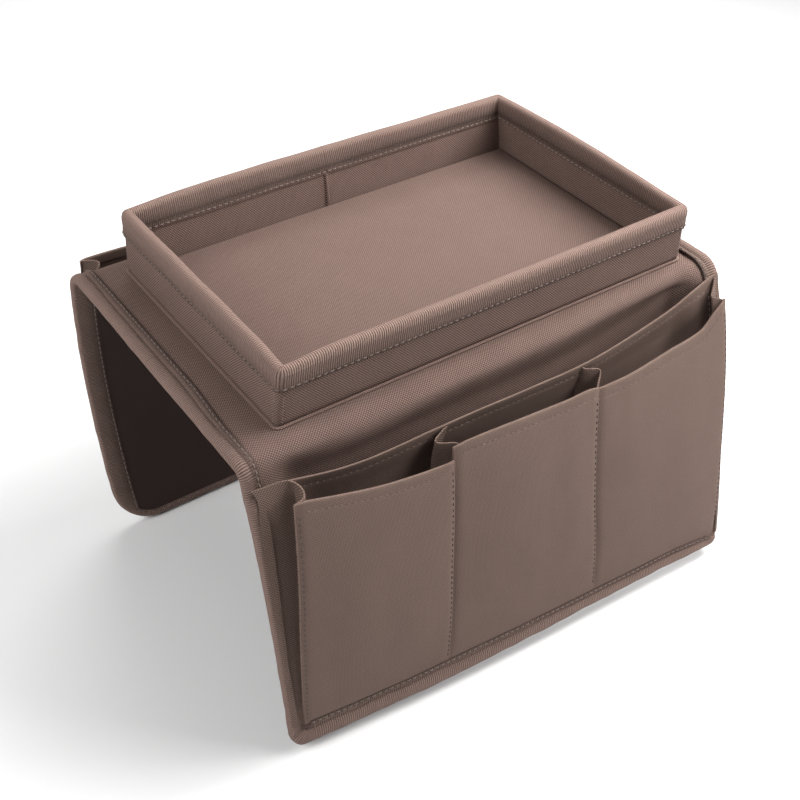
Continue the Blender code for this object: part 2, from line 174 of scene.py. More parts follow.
class Hang:
    """Lays cloth places over one side of the saddle. Pairs of values are (left end, right end).

    side is -1 towards the camera. Angles are in degrees: the CAD flap's lean, the lean of the two ends
    and the curl over the flap's length. bend is the shoulder's radius, and draw moves the hem along
    the arm. belly, droop, wave and ease are how far the cloth leaves the plain shape.
    """

    def __init__(self, side, cad_lean, lean, bend, curl, draw, belly, droop, wave, ease):
        self.side = side
        self.lean = [math.radians(angle) for angle in lean]
        self.bend = bend
        self.bow = FLAP_LENGTH / math.radians(curl)
        self.draw = draw
        self.belly = belly
        self.droop = droop
        self.wave = wave
        self.ease = ease
        cad_turn = math.pi / 2 - math.radians(cad_lean)
        self.corner = SHOULDER_START + SHOULDER_RADIUS * math.tan(cad_turn / 2)
        self.flap_start = SHOULDER_START + SHOULDER_RADIUS * cad_turn

    def unevenness(self, x, s):
        """Slow waves of the layers together, which die out under the tray."""
        free = smooth((s - SHOULDER_START) / WAVE_START)
        waves = noise.noise(Vector((x * 14, s * 9, self.side * 3)))
        waves += 0.4 * noise.noise(Vector((x * 40, s * 30, self.side * 7)))
        return self.wave * free * waves

    def sink(self, x, s):
        """How far the end of the top droops beyond the tray's left end, most at the near corner."""
        reach = clamp((-x - TRAY_REACH) / (HALF_WIDTH - TRAY_REACH), 0, 1.1)
        along = clamp(0.6 - 0.4 * self.side * s / self.corner)
        if self.side < 0:
            fade = 1 - smooth((s - self.corner) / DROOP_END)
        else:
            fade = 1 - smooth(s / self.corner)
        return self.droop * reach**1.5 * along * fade

    def lay(self, x, s, o):
        """The point in space of a cloth place: along the top, round the shoulder, down the bowed flap."""
        share = 0.5 + 0.5 * x / HALF_WIDTH
        turn = math.pi / 2 - between(self.lean, share)
        radius = between(self.bend, share)
        start = self.corner - radius * math.tan(turn / 2)
        angle = clamp((s - start) / radius, 0, turn)
        down = max(0, s - start - radius * turn)
        if self.side < 0:
            down -= curve_through(FOOT_RISE, x) * smooth(1 - (self.end - s) / FOOT_ZONE)
        fall = angle + down / self.bow
        across = 1 - (x / HALF_WIDTH) ** 2
        o += self.unevenness(x, s) + self.belly * across * down / FLAP_LENGTH
        o -= self.ease * math.sin(math.pi * clamp(down / FLAP_LENGTH))
        y = min(s, start) + radius * math.sin(angle)
        y += self.bow * (math.sin(fall) - math.sin(angle)) + o * math.sin(fall)
        z = SANDWICH - radius * (1 - math.cos(angle))
        z += self.bow * (math.cos(fall) - math.cos(angle)) + o * math.cos(fall)
        x += between(self.draw, share) * down / FLAP_LENGTH
        return Vector((x, self.side * y, z - self.sink(x, s)))


# %% Near and far side
TRAY_REACH = 0.1335
FOOT_ZONE = 0.020
FOOT_RISE = ((-0.157, 0.0018), (-0.090, 0.0026), (-0.040, 0.0028), (0.030, 0.0038), (0.075, 0.0034),
             (0.110, 0.0028), (0.130, 0.0016), (0.150, 0.0002))
FAR_LONGER = 0.0055
NEAR = Hang(side=-1, cad_lean=11.5, lean=(11.3, 17.4), bend=(0.0073, 0.0128), curl=7.6,
            draw=(0.004, -0.0028), belly=0.0045, droop=0.0034, wave=0.0007, ease=0.0)
FAR = Hang(side=1, cad_lean=16, lean=(16, 16), bend=(0.015, 0.015), curl=40,
           draw=(0, 0), belly=0.0, droop=0.0034, wave=0.0007, ease=0.0040)
NEAR.end = NEAR.flap_start + FLAP_LENGTH
FAR.end = FAR.flap_start + FLAP_LENGTH + FAR_LONGER
NEAR.label, NEAR.corner_radius = "near", 0.0075
FAR.label, FAR.corner_radius = "far", 0.028
print("near flap starts at", round(NEAR.flap_start, 4), "and the far one at", round(FAR.flap_start, 4))

# %% [markdown]
# ### The hollow under the shoulder
# In the photograph a dark band runs along the near shoulder, where the flap draws in under the top
# before it hangs down. Every layer of the near flap shares this tuck, its board too, so no layer
# shows through another. It follows the magazine panel's mouth, so that mouth is given first.

# %% Tuck below the near shoulder
MAGAZINE_TOP = ((-0.1570, 0.0030), (-0.1390, 0.0056), (-0.1220, 0.0089), (-0.1081, 0.0109),
                (-0.0873, 0.0121), (-0.0308, 0.0113), (0.0018, 0.0118), (0.0450, 0.0125),
                (0.0762, 0.0103), (0.1167, 0.0051), (0.1383, -0.0001), (0.1550, -0.0043))
TUCK = ((-0.0175, 0.0), (-0.0135, 0.0011), (-0.0040, 0.0068), (0.0025, 0.0092), (0.030, 0.0092),
        (0.058, 0.0045), (0.084, 0.0))
TUCK_SLANT = 0.027
TUCK_WIDER = 0.25
TUCK_WIDENING = 0.09
TUCK_REACH = 0.128
TUCK_FADE = 0.020


def tuck(hang, x, s):
    """How deep the near flap's cloth tucks in, most just below the magazine panel's mouth."""
    if hang is FAR:
        return 0.0
    below = s - NEAR.flap_start - curve_through(MAGAZINE_TOP, x) + TUCK_SLANT * min(x, 0)
    wider = 1 + TUCK_WIDER * smooth(x / TUCK_WIDENING)
    inside = 1 - smooth((abs(x) - TUCK_REACH) / TUCK_FADE)
    return wider * curve_through(TUCK, below / wider) * inside


print("deepest tuck", round(max(depth for _, depth in TUCK) * (1 + TUCK_WIDER), 4))

# %% [markdown]
# ## From rings to a skin
# Every piece here is swept: a closed outline is carried along a path, and each outline is joined to
# the one before it. Blender's own screw and curve tools do the same, but they can't follow a draped
# sheet. Each corner also keeps its place in the flat cloth in an attribute called cloth. The weave is
# drawn in that attribute's coordinates, so it follows every fold and still fits when the flaps move.

# %% Sweep helper
SHARP_ANGLE = math.radians(42)


def new_piece(name, points, faces, places, finish, wear_and_highlight=None):
    """An object with its places in the flat cloth, and a mask of wear and painted highlight where a fold or
    hem rubs.
    """
    mesh = bpy.data.meshes.new(name)
    mesh.from_pydata(points, [], faces)
    flat = [value for place in places for value in (*place, 0)]
    mesh.attributes.new("cloth", "FLOAT_VECTOR", "POINT").data.foreach_set("vector", flat)
    if wear_and_highlight:
        mesh.attributes.new("wear_and_highlight", "FLOAT", "POINT").data.foreach_set("value", wear_and_highlight)
    shape = bmesh.new()
    shape.from_mesh(mesh)
    bmesh.ops.recalc_face_normals(shape, faces=shape.faces)
    shape.to_mesh(mesh)
    shape.free()
    mesh.shade_smooth()
    mesh.materials.append(finish)
    piece = bpy.data.objects.new(name, mesh)
    bpy.context.scene.collection.objects.link(piece)
    return piece


def sweep(name, rings, places, finish, closed=False, wear_and_highlight=None):
    """Makes an object from rings of points. A ring is an outer line and an inner line back."""
    count = len(rings[0])
    half = count // 2
    points = [point for ring in rings for point in ring]
    faces = []
    for i in range(len(rings) if closed else len(rings) - 1):
        here = i * count
        there = (i + 1) % len(rings) * count
        for k in range(count):
            step = (k + 1) % count
            faces.append((here + k, here + step, there + step, there + k))
    if not closed:
        for start in (0, (len(rings) - 1) * count):
            for k in range(half - 1):
                faces.append((start + k, start + k + 1, start + count - 2 - k, start + count - 1 - k))
    worn_and_lit = [value for ring in wear_and_highlight for value in ring] if wear_and_highlight else [0.0] * len(points)
    piece = new_piece(name, points, faces, [place for ring in places for place in ring], finish, worn_and_lit)
    piece.data.set_sharp_from_angle(angle=SHARP_ANGLE)
    return piece


def steps(first, last, size):
    """Evenly spaced values from first to last, at most size apart."""
    count = max(1, math.ceil(abs(last - first) / size - 1e-6))
    return [first + (last - first) * i / count for i in range(count + 1)]


# %% [markdown]
# ## The weave
# The cloth is a polyester plain weave with threads about 0.8 mm apart. From a step away it reads as
# fine diagonal rows of dots, because each thread that comes up is a small pillow and neighbours
# alternate. An image of cloth would tile and smear, so the pillows are worked out from sines of the
# cloth place: warp pillows are long one way, weft pillows the other way.

# %% Weave nodes
THREAD = 0.0008


def maths(tree, operation, *inputs):
    """Adds a math node. Each input is a number or another node's output."""
    node = tree.nodes.new("ShaderNodeMath")
    node.operation = operation
    for socket, value in zip(node.inputs, inputs):
        if isinstance(value, (int, float)):
            socket.default_value = value
        else:
            tree.links.new(value, socket)
    return node.outputs[0]


def make_weave_group():
    """A node group: the cloth place and thread spacing in, the height of the threads out."""
    group = bpy.data.node_groups.new("plain_weave", "ShaderNodeTree")
    group.interface.new_socket("Place", in_out="INPUT", socket_type="NodeSocketVector")
    for label in ("Across", "Along", "Length", "Round"):
        group.interface.new_socket(label, in_out="INPUT", socket_type="NodeSocketFloat")
    for label in ("Height", "Warp"):
        group.interface.new_socket(label, in_out="OUTPUT", socket_type="NodeSocketFloat")
    nodes, links = group.nodes, group.links
    entry = nodes.new("NodeGroupInput")
    leave = nodes.new("NodeGroupOutput")
    split = nodes.new("ShaderNodeSeparateXYZ")
    links.new(entry.outputs["Place"], split.inputs[0])
    waves = []
    for axis, spacing in ((0, "Across"), (1, "Along")):
        turns = maths(group, "DIVIDE", split.outputs[axis], entry.outputs[spacing])
        waves.append(maths(group, "SINE", maths(group, "MULTIPLY", turns, math.pi)))
    sizes = [maths(group, "ABSOLUTE", wave) for wave in waves]
    product = maths(group, "MULTIPLY", *waves)
    warp_up = maths(group, "GREATER_THAN", product, 0)
    pillows = []
    for over, under in ((0, 1), (1, 0)):
        width = maths(group, "POWER", sizes[over], entry.outputs["Round"])
        length = maths(group, "POWER", sizes[under], entry.outputs["Length"])
        pillows.append(maths(group, "MULTIPLY", width, length))
    difference = maths(group, "SUBTRACT", *pillows)
    chosen = maths(group, "MULTIPLY", difference, warp_up)
    height = maths(group, "ADD", pillows[1], chosen)
    links.new(height, leave.inputs["Height"])
    links.new(warp_up, leave.inputs["Warp"])
    return group


weave_group = make_weave_group()
print("weave group has", len(weave_group.nodes), "nodes")

# %% [markdown]
# ## Cloth finishes
# A finish mixes three things: the threads, with painted light on their pillows and painted shade in their
# gaps; slow stains and uneven dye, from noise; and wear with a painted highlight, lighter where a fold or
# a hem rubs. The mixed colour goes to the base colour, and the thread height to a bump. Sheen gives woven
# polyester its soft bright edge, and as it is the same all over, it is set on the shader's own socket.

# %% Finish function
STAIN_SCALE = 60
FIBRE_SCALE = 1100


def new_finish(name):
    """A material with its node tree, its shader and the cloth place that drives its patterns."""
    finish = bpy.data.materials.new(name)
    finish.use_nodes = True
    tree = finish.node_tree
    place = tree.nodes.new("ShaderNodeAttribute")
    place.attribute_name = "cloth"
    return finish, tree, tree.nodes["Principled BSDF"], place.outputs["Vector"]


def mix_colours(tree, first, second, factor):
    """Mixes two colours, each given as numbers or as a socket."""
    node = tree.nodes.new("ShaderNodeMix")
    node.data_type = "RGBA"
    for label, colour in (("A", first), ("B", second)):
        if isinstance(colour, tuple):
            node.inputs[label].default_value = (*colour, 1)
        else:
            tree.links.new(colour, node.inputs[label])
    tree.links.new(factor, node.inputs["Factor"])
    return node.outputs["Result"]


def add_bump(tree, shader, height, distance, strength=1.0):
    """Turns a height into small relief in the light, without moving the surface."""
    bump = tree.nodes.new("ShaderNodeBump")
    bump.inputs["Strength"].default_value = strength
    bump.inputs["Distance"].default_value = distance
    tree.links.new(height, bump.inputs["Height"])
    tree.links.new(bump.outputs["Normal"], shader.inputs["Normal"])


def patches(tree, place, scale, detail, roughness):
    """Soft noise over the cloth: stains, uneven dye or fibres, by its scale."""
    node = tree.nodes.new("ShaderNodeTexNoise")
    node.inputs["Scale"].default_value = scale
    node.inputs["Detail"].default_value = detail
    node.inputs["Roughness"].default_value = roughness
    tree.links.new(place, node.inputs["Vector"])
    return node.outputs["Fac"]


# %% Woven finish
def woven_finish(name, dark, light, worn_and_lit, across=THREAD, along=THREAD, length=0.35, rounding=0.8,
                 pillow_painted_shade=0.25, warp_painted_light=0.75, roughness=0.88, relief=0.00022, sheen=0.10, stain=0.06,
                 grain=0.20, brushed=1.0):
    """Woven cloth. across, along, length and rounding shape the threads, the rest is their look. The colour
    paints light on the thread tops and warp cells and shade in the gaps, and wear with a painted highlight on
    folds and hems.
    """
    finish, tree, shader, place = new_finish(name)
    nodes, links = tree.nodes, tree.links
    shader.inputs["Sheen Weight"].default_value = sheen
    shader.inputs["Sheen Roughness"].default_value = 0.45
    shader.inputs["Sheen Tint"].default_value = (*worn_and_lit, 1)
    shader.inputs["Specular IOR Level"].default_value = 0.2
    wear_and_highlight_attribute = nodes.new("ShaderNodeAttribute")
    wear_and_highlight_attribute.attribute_name = "wear_and_highlight"
    weave = nodes.new("ShaderNodeGroup")
    weave.node_tree = weave_group
    links.new(place, weave.inputs["Place"])
    for label, value in (("Across", across), ("Along", along), ("Length", length), ("Round", rounding)):
        weave.inputs[label].default_value = value

    stretch = nodes.new("ShaderNodeMapping")
    stretch.inputs["Scale"].default_value = (1, brushed, 1)
    links.new(place, stretch.inputs["Vector"])
    slow = patches(tree, stretch.outputs["Vector"], STAIN_SCALE, 4, 0.6)
    fine = patches(tree, stretch.outputs["Vector"], FIBRE_SCALE, 2, 0.6)

    height = weave.outputs["Height"]
    # Painted light and shade of the threads: warp cells lighter than weft cells, thread tops lighter than
    # their gaps.
    warp_light = maths(tree, "MULTIPLY", weave.outputs["Warp"], warp_painted_light)
    amount = maths(tree, "MULTIPLY_ADD", height, pillow_painted_shade, warp_light)
    fibres = maths(tree, "MULTIPLY_ADD", fine, grain * 2, -grain)
    blotch = maths(tree, "MULTIPLY_ADD", slow, stain * 4, -stain * 2)
    shade = maths(tree, "ADD", amount, maths(tree, "ADD", fibres, blotch))
    threads = mix_colours(tree, dark, light, maths(tree, "MAXIMUM", shade, 0))
    patchy = maths(tree, "MULTIPLY_ADD", fine, 0.8, 0.6)
    # Wear and a painted highlight: folds and hems mixed towards the bright colour, most on the thread tops.
    wear_and_highlight_mix = maths(tree, "MULTIPLY", wear_and_highlight_attribute.outputs["Fac"], maths(tree, "MULTIPLY", height, patchy))
    links.new(mix_colours(tree, threads, worn_and_lit, wear_and_highlight_mix), shader.inputs["Base Color"])
    gloss = maths(tree, "MULTIPLY_ADD", height, -0.08, roughness)
    links.new(maths(tree, "MULTIPLY_ADD", slow, 0.06, gloss), shader.inputs["Roughness"])
    add_bump(tree, shader, maths(tree, "MULTIPLY_ADD", fine, 0.35, height), relief, 0.9)
    return finish


def shades(colour, low=0.55, high=1.45, bright=1.75):
    """Three scaled copies of one dyed colour. In a weave: painted shade in the gaps, painted light on the
    thread tops, and wear with a painted highlight on a fold.
    """
    return [tuple(channel * factor for channel in colour) for factor in (low, high, bright)]


# %% [markdown]
# ### The finishes of one object
# The saddle, the tray and the pockets are cut from the same taupe cloth, but the pockets are much
# smoother. The contrast of each weave is painted light on its thread tops and painted shade in its gaps,
# most on the tray walls and least on the pockets. The binding is a coarser ribbed tape, painted lighter
# at its fold and darker towards its lips. The lining is a thin, almost black brown weave, and the boards
# are grey pressed card that only shows when a seam is opened. Three threads differ in how light they
# are: on the tapes, along the hems, and in the seams that sink into the pockets, whose dark thread is
# painted shade.

# %% Finishes
TAUPE = (0.136, 0.089, 0.074)
POCKET_TAUPE = (0.128, 0.086, 0.070)
TAPE_TAUPE = (0.150, 0.100, 0.083)
LINING_BROWN = (0.034, 0.0200, 0.0165)
THREAD_TAUPE = (0.175, 0.127, 0.108)
HEM_THREAD = (0.105, 0.072, 0.060)
# Dark thread in the pocket seams: painted shade where the stitches sink into the seam.
SEAM_SHADE = (0.055, 0.038, 0.032)
BOARD_GREY = (0.30, 0.29, 0.27)

# The dark and light shades of each weave are painted shade in the thread gaps and painted light on the thread
# tops; the contrast is greatest on the tray walls, smaller on the tray floor and smallest on the pockets.
saddle_finish = woven_finish("saddle_weave", *shades(TAUPE, 0.30, 1.70))
tray_finish = woven_finish("tray_weave", *shades(TAUPE, 0.22, 1.78))
floor_finish = woven_finish("tray_floor_weave", *shades(TAUPE, 0.60, 1.40))
gusset_finish = woven_finish("gusset_weave", *shades(POCKET_TAUPE, 0.35, 1.65))
pocket_finish = woven_finish("pocket_weave", *shades(POCKET_TAUPE, 0.78, 1.22), relief=0.00010,
                             stain=0.12, grain=0.35, brushed=0.6)
# The tape's ribs fade from its fold to both lips: painted light at the fold and painted shade towards the
# lips.
tape_finish = woven_finish("ribbed_tape", *shades(TAPE_TAUPE, 0.30, 1.62, 2.1), across=0.00130,
                           along=0.030, length=0.8, rounding=0.8, pillow_painted_shade=0.95, warp_painted_light=0.05,
                           relief=0.0007, sheen=0.15, grain=0.35)
lining_finish = woven_finish("lining_weave", *shades(LINING_BROWN, 0.70, 1.30), across=0.0006,
                             along=0.0006, pillow_painted_shade=0.6, warp_painted_light=0.2, roughness=0.7, relief=0.00005,
                             sheen=0.05)


def plain_finish(name, colour, roughness, grain_scale, grain_depth, mottle):
    """A finish without threads: the pressed card of the boards, and the sewing thread."""
    finish, tree, shader, place = new_finish(name)
    grain = patches(tree, place, grain_scale, 4, 0.5)
    dark, light, _ = shades(colour, 1 - mottle, 1 + mottle)
    tree.links.new(mix_colours(tree, dark, light, grain), shader.inputs["Base Color"])
    tree.links.new(maths(tree, "MULTIPLY_ADD", grain, 0.2, roughness - 0.1), shader.inputs["Roughness"])
    add_bump(tree, shader, grain, grain_depth)
    return finish


board_finish = plain_finish("pressed_card", BOARD_GREY, 0.75, 700, 0.0002, 0.25)
thread_finish = plain_finish("sewing_thread", THREAD_TAUPE, 0.6, 2500, 0.0001, 0.3)
hem_finish = plain_finish("hem_thread", HEM_THREAD, 0.7, 2500, 0.0001, 0.3)
# The seam thread's dark colour is painted shade in the sunk seams.
sunk_finish = plain_finish("sunk_thread", SEAM_SHADE, 0.7, 2500, 0.0001, 0.3)
print("finishes", len(bpy.data.materials))

# %% [markdown]
# ## Laying a sheet
# A sheet is swept from its left edge to its right edge. At each column we list rows down the cloth and
# give the outer and inner face at each row. One function can then make a flat lining, a bulging panel
# or a pocket front with a folded hem, because only its face function changes. Round lower corners are
# cut by ending the outer columns earlier.

# %% Sheet function
COLUMN_STEP = 0.0045
ROW_STEP = 0.0055
BEND_STEP = 0.0016
BEND_MARGIN = 0.003


def rows_down(hang, first, last):
    """Rows down one side of the saddle, closer together where the shoulder bends."""
    bend_first = SHOULDER_START - BEND_MARGIN
    bend_last = hang.flap_start + BEND_MARGIN
    rows = []
    for low, high, size in ((first, bend_first, ROW_STEP), (bend_first, bend_last, BEND_STEP),
                            (bend_last, last, ROW_STEP)):
        low, high = max(low, first), min(high, last)
        if high - low > 1e-6:
            rows += steps(low, high, size)[:-1]
    return rows + [last]


def corner_end(hang, x, half_width, end, radius):
    """Where a column of a sheet with round lower corners ends."""
    over = abs(x) - (half_width - radius)
    if over <= 0:
        return end
    return end - radius + math.sqrt(max(0, radius**2 - over**2))


def lay_sheet(name, hang, columns, rows, face, finish, across=None, wear_and_highlight=None):
    """rows(c) lists s down column c, across(c, s) gives x, face(x, s, inner) gives an offset."""
    across = across or (lambda column, s: column)
    rings, places, worn_and_lit = [], [], []
    for column in columns:
        line = [(across(column, s), s) for s in rows(column)]
        front = [hang.lay(x, s, face(x, s, False)) for x, s in line]
        back = [hang.lay(x, s, face(x, s, True)) for x, s in line]
        rings.append(front + back[::-1])
        places.append(line + line[::-1])
        rub_and_highlight = [wear_and_highlight(x, s) if wear_and_highlight else 0.0 for x, s in line]
        worn_and_lit.append(rub_and_highlight + rub_and_highlight[::-1])
    return sweep(name, rings, places, finish, wear_and_highlight=worn_and_lit)


CORNER_ROWS = 8


def layer_rows(hang, column, half_width, first, end, radius):
    """Rows of a full layer: even ones, and a few more where the lower corners are cut round."""
    corner = end - radius
    low_end = corner_end(hang, column, half_width, end, radius)
    last = [corner + (low_end - corner) * i / CORNER_ROWS for i in range(1, CORNER_ROWS + 1)]
    return rows_down(hang, first, corner) + last


def flat_layer(name, hang, first, inset, low, high, finish):
    """A layer of the saddle between two offsets, from a first row to the flap's end."""
    half_width = CUT_EDGE - inset
    end = hang.end - TAPE - GAP - inset
    radius = hang.corner_radius - TAPE - GAP - inset
    columns = steps(-half_width + GAP, half_width - GAP, COLUMN_STEP)

    def rows(column):
        return layer_rows(hang, column, half_width, first, end, radius)

    def face(x, s, inner):
        return (low if inner else high) - tuck(hang, x, s)

    return lay_sheet(name, hang, columns, rows, face, finish)


# %% [markdown]
# ## The saddle's layers
# On the real object the outer cloth is one piece, from one flap's end to the other. Here it is cut
# under the tray, at the middle of the top, because each half has to bend with its own flap. Boards
# stop at the shoulders, where only cloth and lining run through, so that the flaps can swing.

# %% Outer cloth, lining and boards
LINING_INSET = 0.0012
BOARD_ROOM = GAP / 3
TOP_BOARD_END = SHOULDER_START - 0.002
saddle_pieces = {}
flap_boards = {}
top_boards = []


def top_board_rows(column):
    return steps(0, TOP_BOARD_END, ROW_STEP)


def top_board_face(x, s, inner):
    return BOARD_BACK + BOARD_ROOM if inner else BOARD_FACE - BOARD_ROOM


for hang in (NEAR, FAR):
    cloth = flat_layer(f"{hang.label}_saddle_cloth", hang, 0, 0, -CLOTH, 0, saddle_finish)
    lining = flat_layer(f"{hang.label}_saddle_lining", hang, 0, LINING_INSET, BACK_FACE, LINING_FACE,
                        lining_finish)
    saddle_pieces[hang.label] = [cloth, lining]
    flap_boards[hang.label] = flat_layer(f"{hang.label}_flap_stiffener", hang, hang.flap_start + GAP, GAP,
                                         BOARD_BACK + BOARD_ROOM, BOARD_FACE - BOARD_ROOM, board_finish)
    top_columns = steps(-CUT_EDGE + GAP, CUT_EDGE - GAP, COLUMN_STEP)
    top_boards.append(lay_sheet(f"{hang.label}_top_stiffener", hang, top_columns, top_board_rows,
                                top_board_face, board_finish))
    print(cloth.name, len(cloth.data.polygons), "faces")

# %% [markdown]
# ## Stitches
# A sewn line is a row of short threads that dive into the cloth at both ends. Drawn in a texture they
# would stay flat, so each stitch is a small bent capsule of its own, all of a row in one mesh. The
# row walks along a path and rests on it, lifted in the middle and sunk at the ends.

# %% Walking along a seam
SEAM_STEP = 0.003


def path_lengths(path):
    """Distances of a path's points from its start."""
    lengths = [0.0]
    for (a, _), (b, _) in zip(path, path[1:]):
        lengths.append(lengths[-1] + (b - a).length)
    return lengths


def along_path(path, lengths, distance):
    """Point and normal at a distance along a path of (point, normal)."""
    low, high = 0, len(lengths) - 1
    while high - low > 1:
        middle = (low + high) // 2
        if lengths[middle] <= distance:
            low = middle
        else:
            high = middle
    span = lengths[high] - lengths[low] or 1.0
    share = clamp((distance - lengths[low]) / span)
    point = path[low][0].lerp(path[high][0], share)
    return point, path[low][1].lerp(path[high][1], share).normalized()


def surface_path(hang, places, face):
    """Points and normals on the outer side of a draped sheet for cloth places (x, s)."""
    path = []
    for x, s in places:
        o = face(x, s, False)
        point = hang.lay(x, s, o)
        path.append((point, (hang.lay(x, s, o + 0.001) - point).normalized()))
    return path


# %% One row of stitches
STITCH_LENGTH = 0.0028
STITCH_RADIUS = 0.00034
FINE_RADIUS = 0.00026
STITCH_SLICES = 5
STITCH_SIDES = 6
STITCH_TWIST = 0.12


def stitch_row(name, path, pitch=STITCH_PITCH, length=STITCH_LENGTH, radius=STITCH_RADIUS, sink=0.9,
               finish=thread_finish):
    """One row of stitches along a path of (point, normal)."""
    lengths = path_lengths(path)
    count = max(1, int(lengths[-1] / pitch))
    points, faces, places = [], [], []
    sides = STITCH_SIDES
    for number in range(count):
        middle = (number + 0.5) * lengths[-1] / count
        twist = STITCH_TWIST * math.sin(number * 12.9898)
        first = len(points)
        for i in range(STITCH_SLICES):
            share = i / (STITCH_SLICES - 1) * 2 - 1
            place = middle + share * length / 2
            point, normal = along_path(path, lengths, place)
            ahead, _ = along_path(path, lengths, place + length / 20)
            behind, _ = along_path(path, lengths, place - length / 20)
            way = (ahead - behind).normalized()
            side = way.cross(normal).normalized()
            bulge = math.sqrt(max(0.05, 1 - share**2 * 0.9))
            centre = point + normal * radius * (0.55 * bulge + 0.45 - sink * share**2 * 1.6)
            centre += side * radius * twist * share * 2
            for k in range(sides):
                turn = 2 * math.pi * k / sides
                width = radius * bulge
                points.append(centre + side * width * math.cos(turn) + normal * width * math.sin(turn))
                places.append((place, turn * radius))
        for i in range(STITCH_SLICES - 1):
            for k in range(sides):
                step = (k + 1) % sides
                base = first + i * sides
                faces.append((base + k, base + step, base + sides + step, base + sides + k))
        faces.append(tuple(range(first, first + sides)))
        last = first + (STITCH_SLICES - 1) * sides
        faces.append(tuple(range(last, last + sides)))
    return new_piece(name, points, faces, places, finish)


# %% [markdown]
# ## The edge binding
# A tape 25 mm wide is folded over every raw edge and sewn through all layers. It is a rounded U, a
# little fuller at its fold than the sandwich inside, and it puckers: each stitch pulls it down, and
# the free fold waves. On the far flap's inside more of the tape shows at the sides than at the foot.

# %% Front and back half of the tape
SEAM_INSET = 0.0017
LIP_ROLL = 0.0004
LIP_TOP = 0.0009
SEAM_END = 0.0027
TAPE_CREASE = 0.0001
LIP_DROP = 0.0006
LIP_EDGE = 0.0002
FULL_LIP = 0.006


def tape_front(front, width, dimple, groove, puff, lift):
    """The front half of the tape's outer line, from its lip to the fold."""
    trench = -width * groove[0]
    before = trench - 0.0010
    return [(-width, front - LIP_DROP + lift),
            (-width + LIP_ROLL, front - TAPE_CREASE + lift),
            (-width + LIP_TOP, front + lift * 0.8),
            (-width + SEAM_INSET, front - dimple + lift * 0.5),
            (-width + SEAM_END, front + TAPE_CREASE + lift * 0.2),
            ((before - width + SEAM_END) / 2, front + TAPE_CREASE),
            (before, front),
            (trench, front - groove[1]),
            (trench + 0.0012, front + puff * 0.4),
            (trench * 0.6, front + puff),
            (trench * 0.35, front + puff * 0.9)]


def tape_back(back, width, dimple):
    """The back half of the tape's outer line, from the fold to its other lip."""
    small = min(1.0, width / FULL_LIP)
    return [(-width * 0.5, back - TAPE_CREASE),
            (-width + SEAM_END * small, back),
            (-width + SEAM_INSET * small, back + dimple),
            (-width + LIP_TOP * small, back),
            (-width + LIP_ROLL * small, back + TAPE_CREASE),
            (-width, back + LIP_DROP)]


# %% Whole tape profile
FOLD_POINTS = 9


def tape_profile(front, back, front_width, back_width, dimple=0.0003, swell=0.0022, groove=(0.5, 0.0001),
                 puff=0.0002, lift=0.0):
    """Outer and inner line of a folded tape, as (e, o). e runs out from the raw edge.

    dimple is the stitch line's depth, groove where (a share of the width) and how deep the tape
    sinks beside the layers' edge, puff how far it stands off beyond that, lift how far its lip rises.
    """
    middle = (front + back) / 2
    half = (front - back) / 2
    fold = GAP + TAPE - swell
    outer = tape_front(front, front_width, dimple, groove, puff, lift)
    for i in range(FOLD_POINTS):
        angle = math.pi / 2 - math.pi * i / (FOLD_POINTS - 1)
        outer.append((fold + swell * math.cos(angle), middle + half * math.sin(angle)))
    outer += tape_back(back, back_width, dimple)
    pull = min(TAPE, half * 0.4)
    share = (half - pull) / half
    inner = []
    for e, o in outer:
        if e > fold:
            inner.append((fold + (e - fold) * share, middle + (o - middle) * share))
        else:
            inner.append((e, o - pull if o > middle else o + pull))
    inner[0] = (inner[0][0], outer[0][1] - LIP_EDGE)
    inner[-1] = (inner[-1][0], outer[-1][1] + LIP_EDGE)
    return outer, inner


def line_lengths(line):
    """Distances along a line of (a, b) pairs, from its first point."""
    lengths = [0.0]
    for (a0, b0), (a1, b1) in zip(line, line[1:]):
        lengths.append(lengths[-1] + math.hypot(a1 - a0, b1 - b0))
    return lengths


# %% The raw edge to bind
TAPE_STEP = 0.0025


def edge_path(hang):
    """(x, s, out_x, out_s) down the right edge, along the foot and up the left edge."""
    radius = hang.corner_radius - TAPE - GAP
    foot = hang.end - TAPE - GAP
    right = [(CUT_EDGE, s, 1, 0) for s in steps(0, foot - radius, TAPE_STEP)]
    turns = steps(0, math.pi / 2, TAPE_STEP / radius)[1:]
    for angle in turns:
        across, down = math.cos(angle), math.sin(angle)
        right.append((CUT_EDGE - radius + radius * across, foot - radius + radius * down, across, down))
    bottom = [(x, foot, 0, 1) for x in steps(CUT_EDGE - radius, radius - CUT_EDGE, TAPE_STEP)[1:-1]]
    left = [(-x, s, -across, down) for x, s, across, down in reversed(right)]
    return right + bottom + left


# %% [markdown]
# ### How far the tape reaches
# The tape isn't equally wide all round. At the near foot it covers the lower edge of the panel and of
# the three fronts too, so its front lip follows a curve along the foot. Each lip is kept inside a
# limit across and a limit down, while the fold itself follows the round edge.

# %% Faces and limits of the tape
MAGAZINE_FACE = GAP + POCKET_CLOTH
FOOT_LEVEL = MAGAZINE_FACE + POCKET_CLOTH + 2 * GAP
FOOT_FACE = FOOT_LEVEL + POCKET_CLOTH
FOOT_LIP = ((-0.154, 0.1666), (-0.100, 0.1672), (0.000, 0.1688), (0.060, 0.1710), (0.120, 0.1730),
            (0.151, 0.1768))
LEAST_LIP = 0.004
LEFT_NARROWING = 0.0022
FAR_BACK_EDGE = 0.1462
FAR_BACK_FOOT = 0.0052


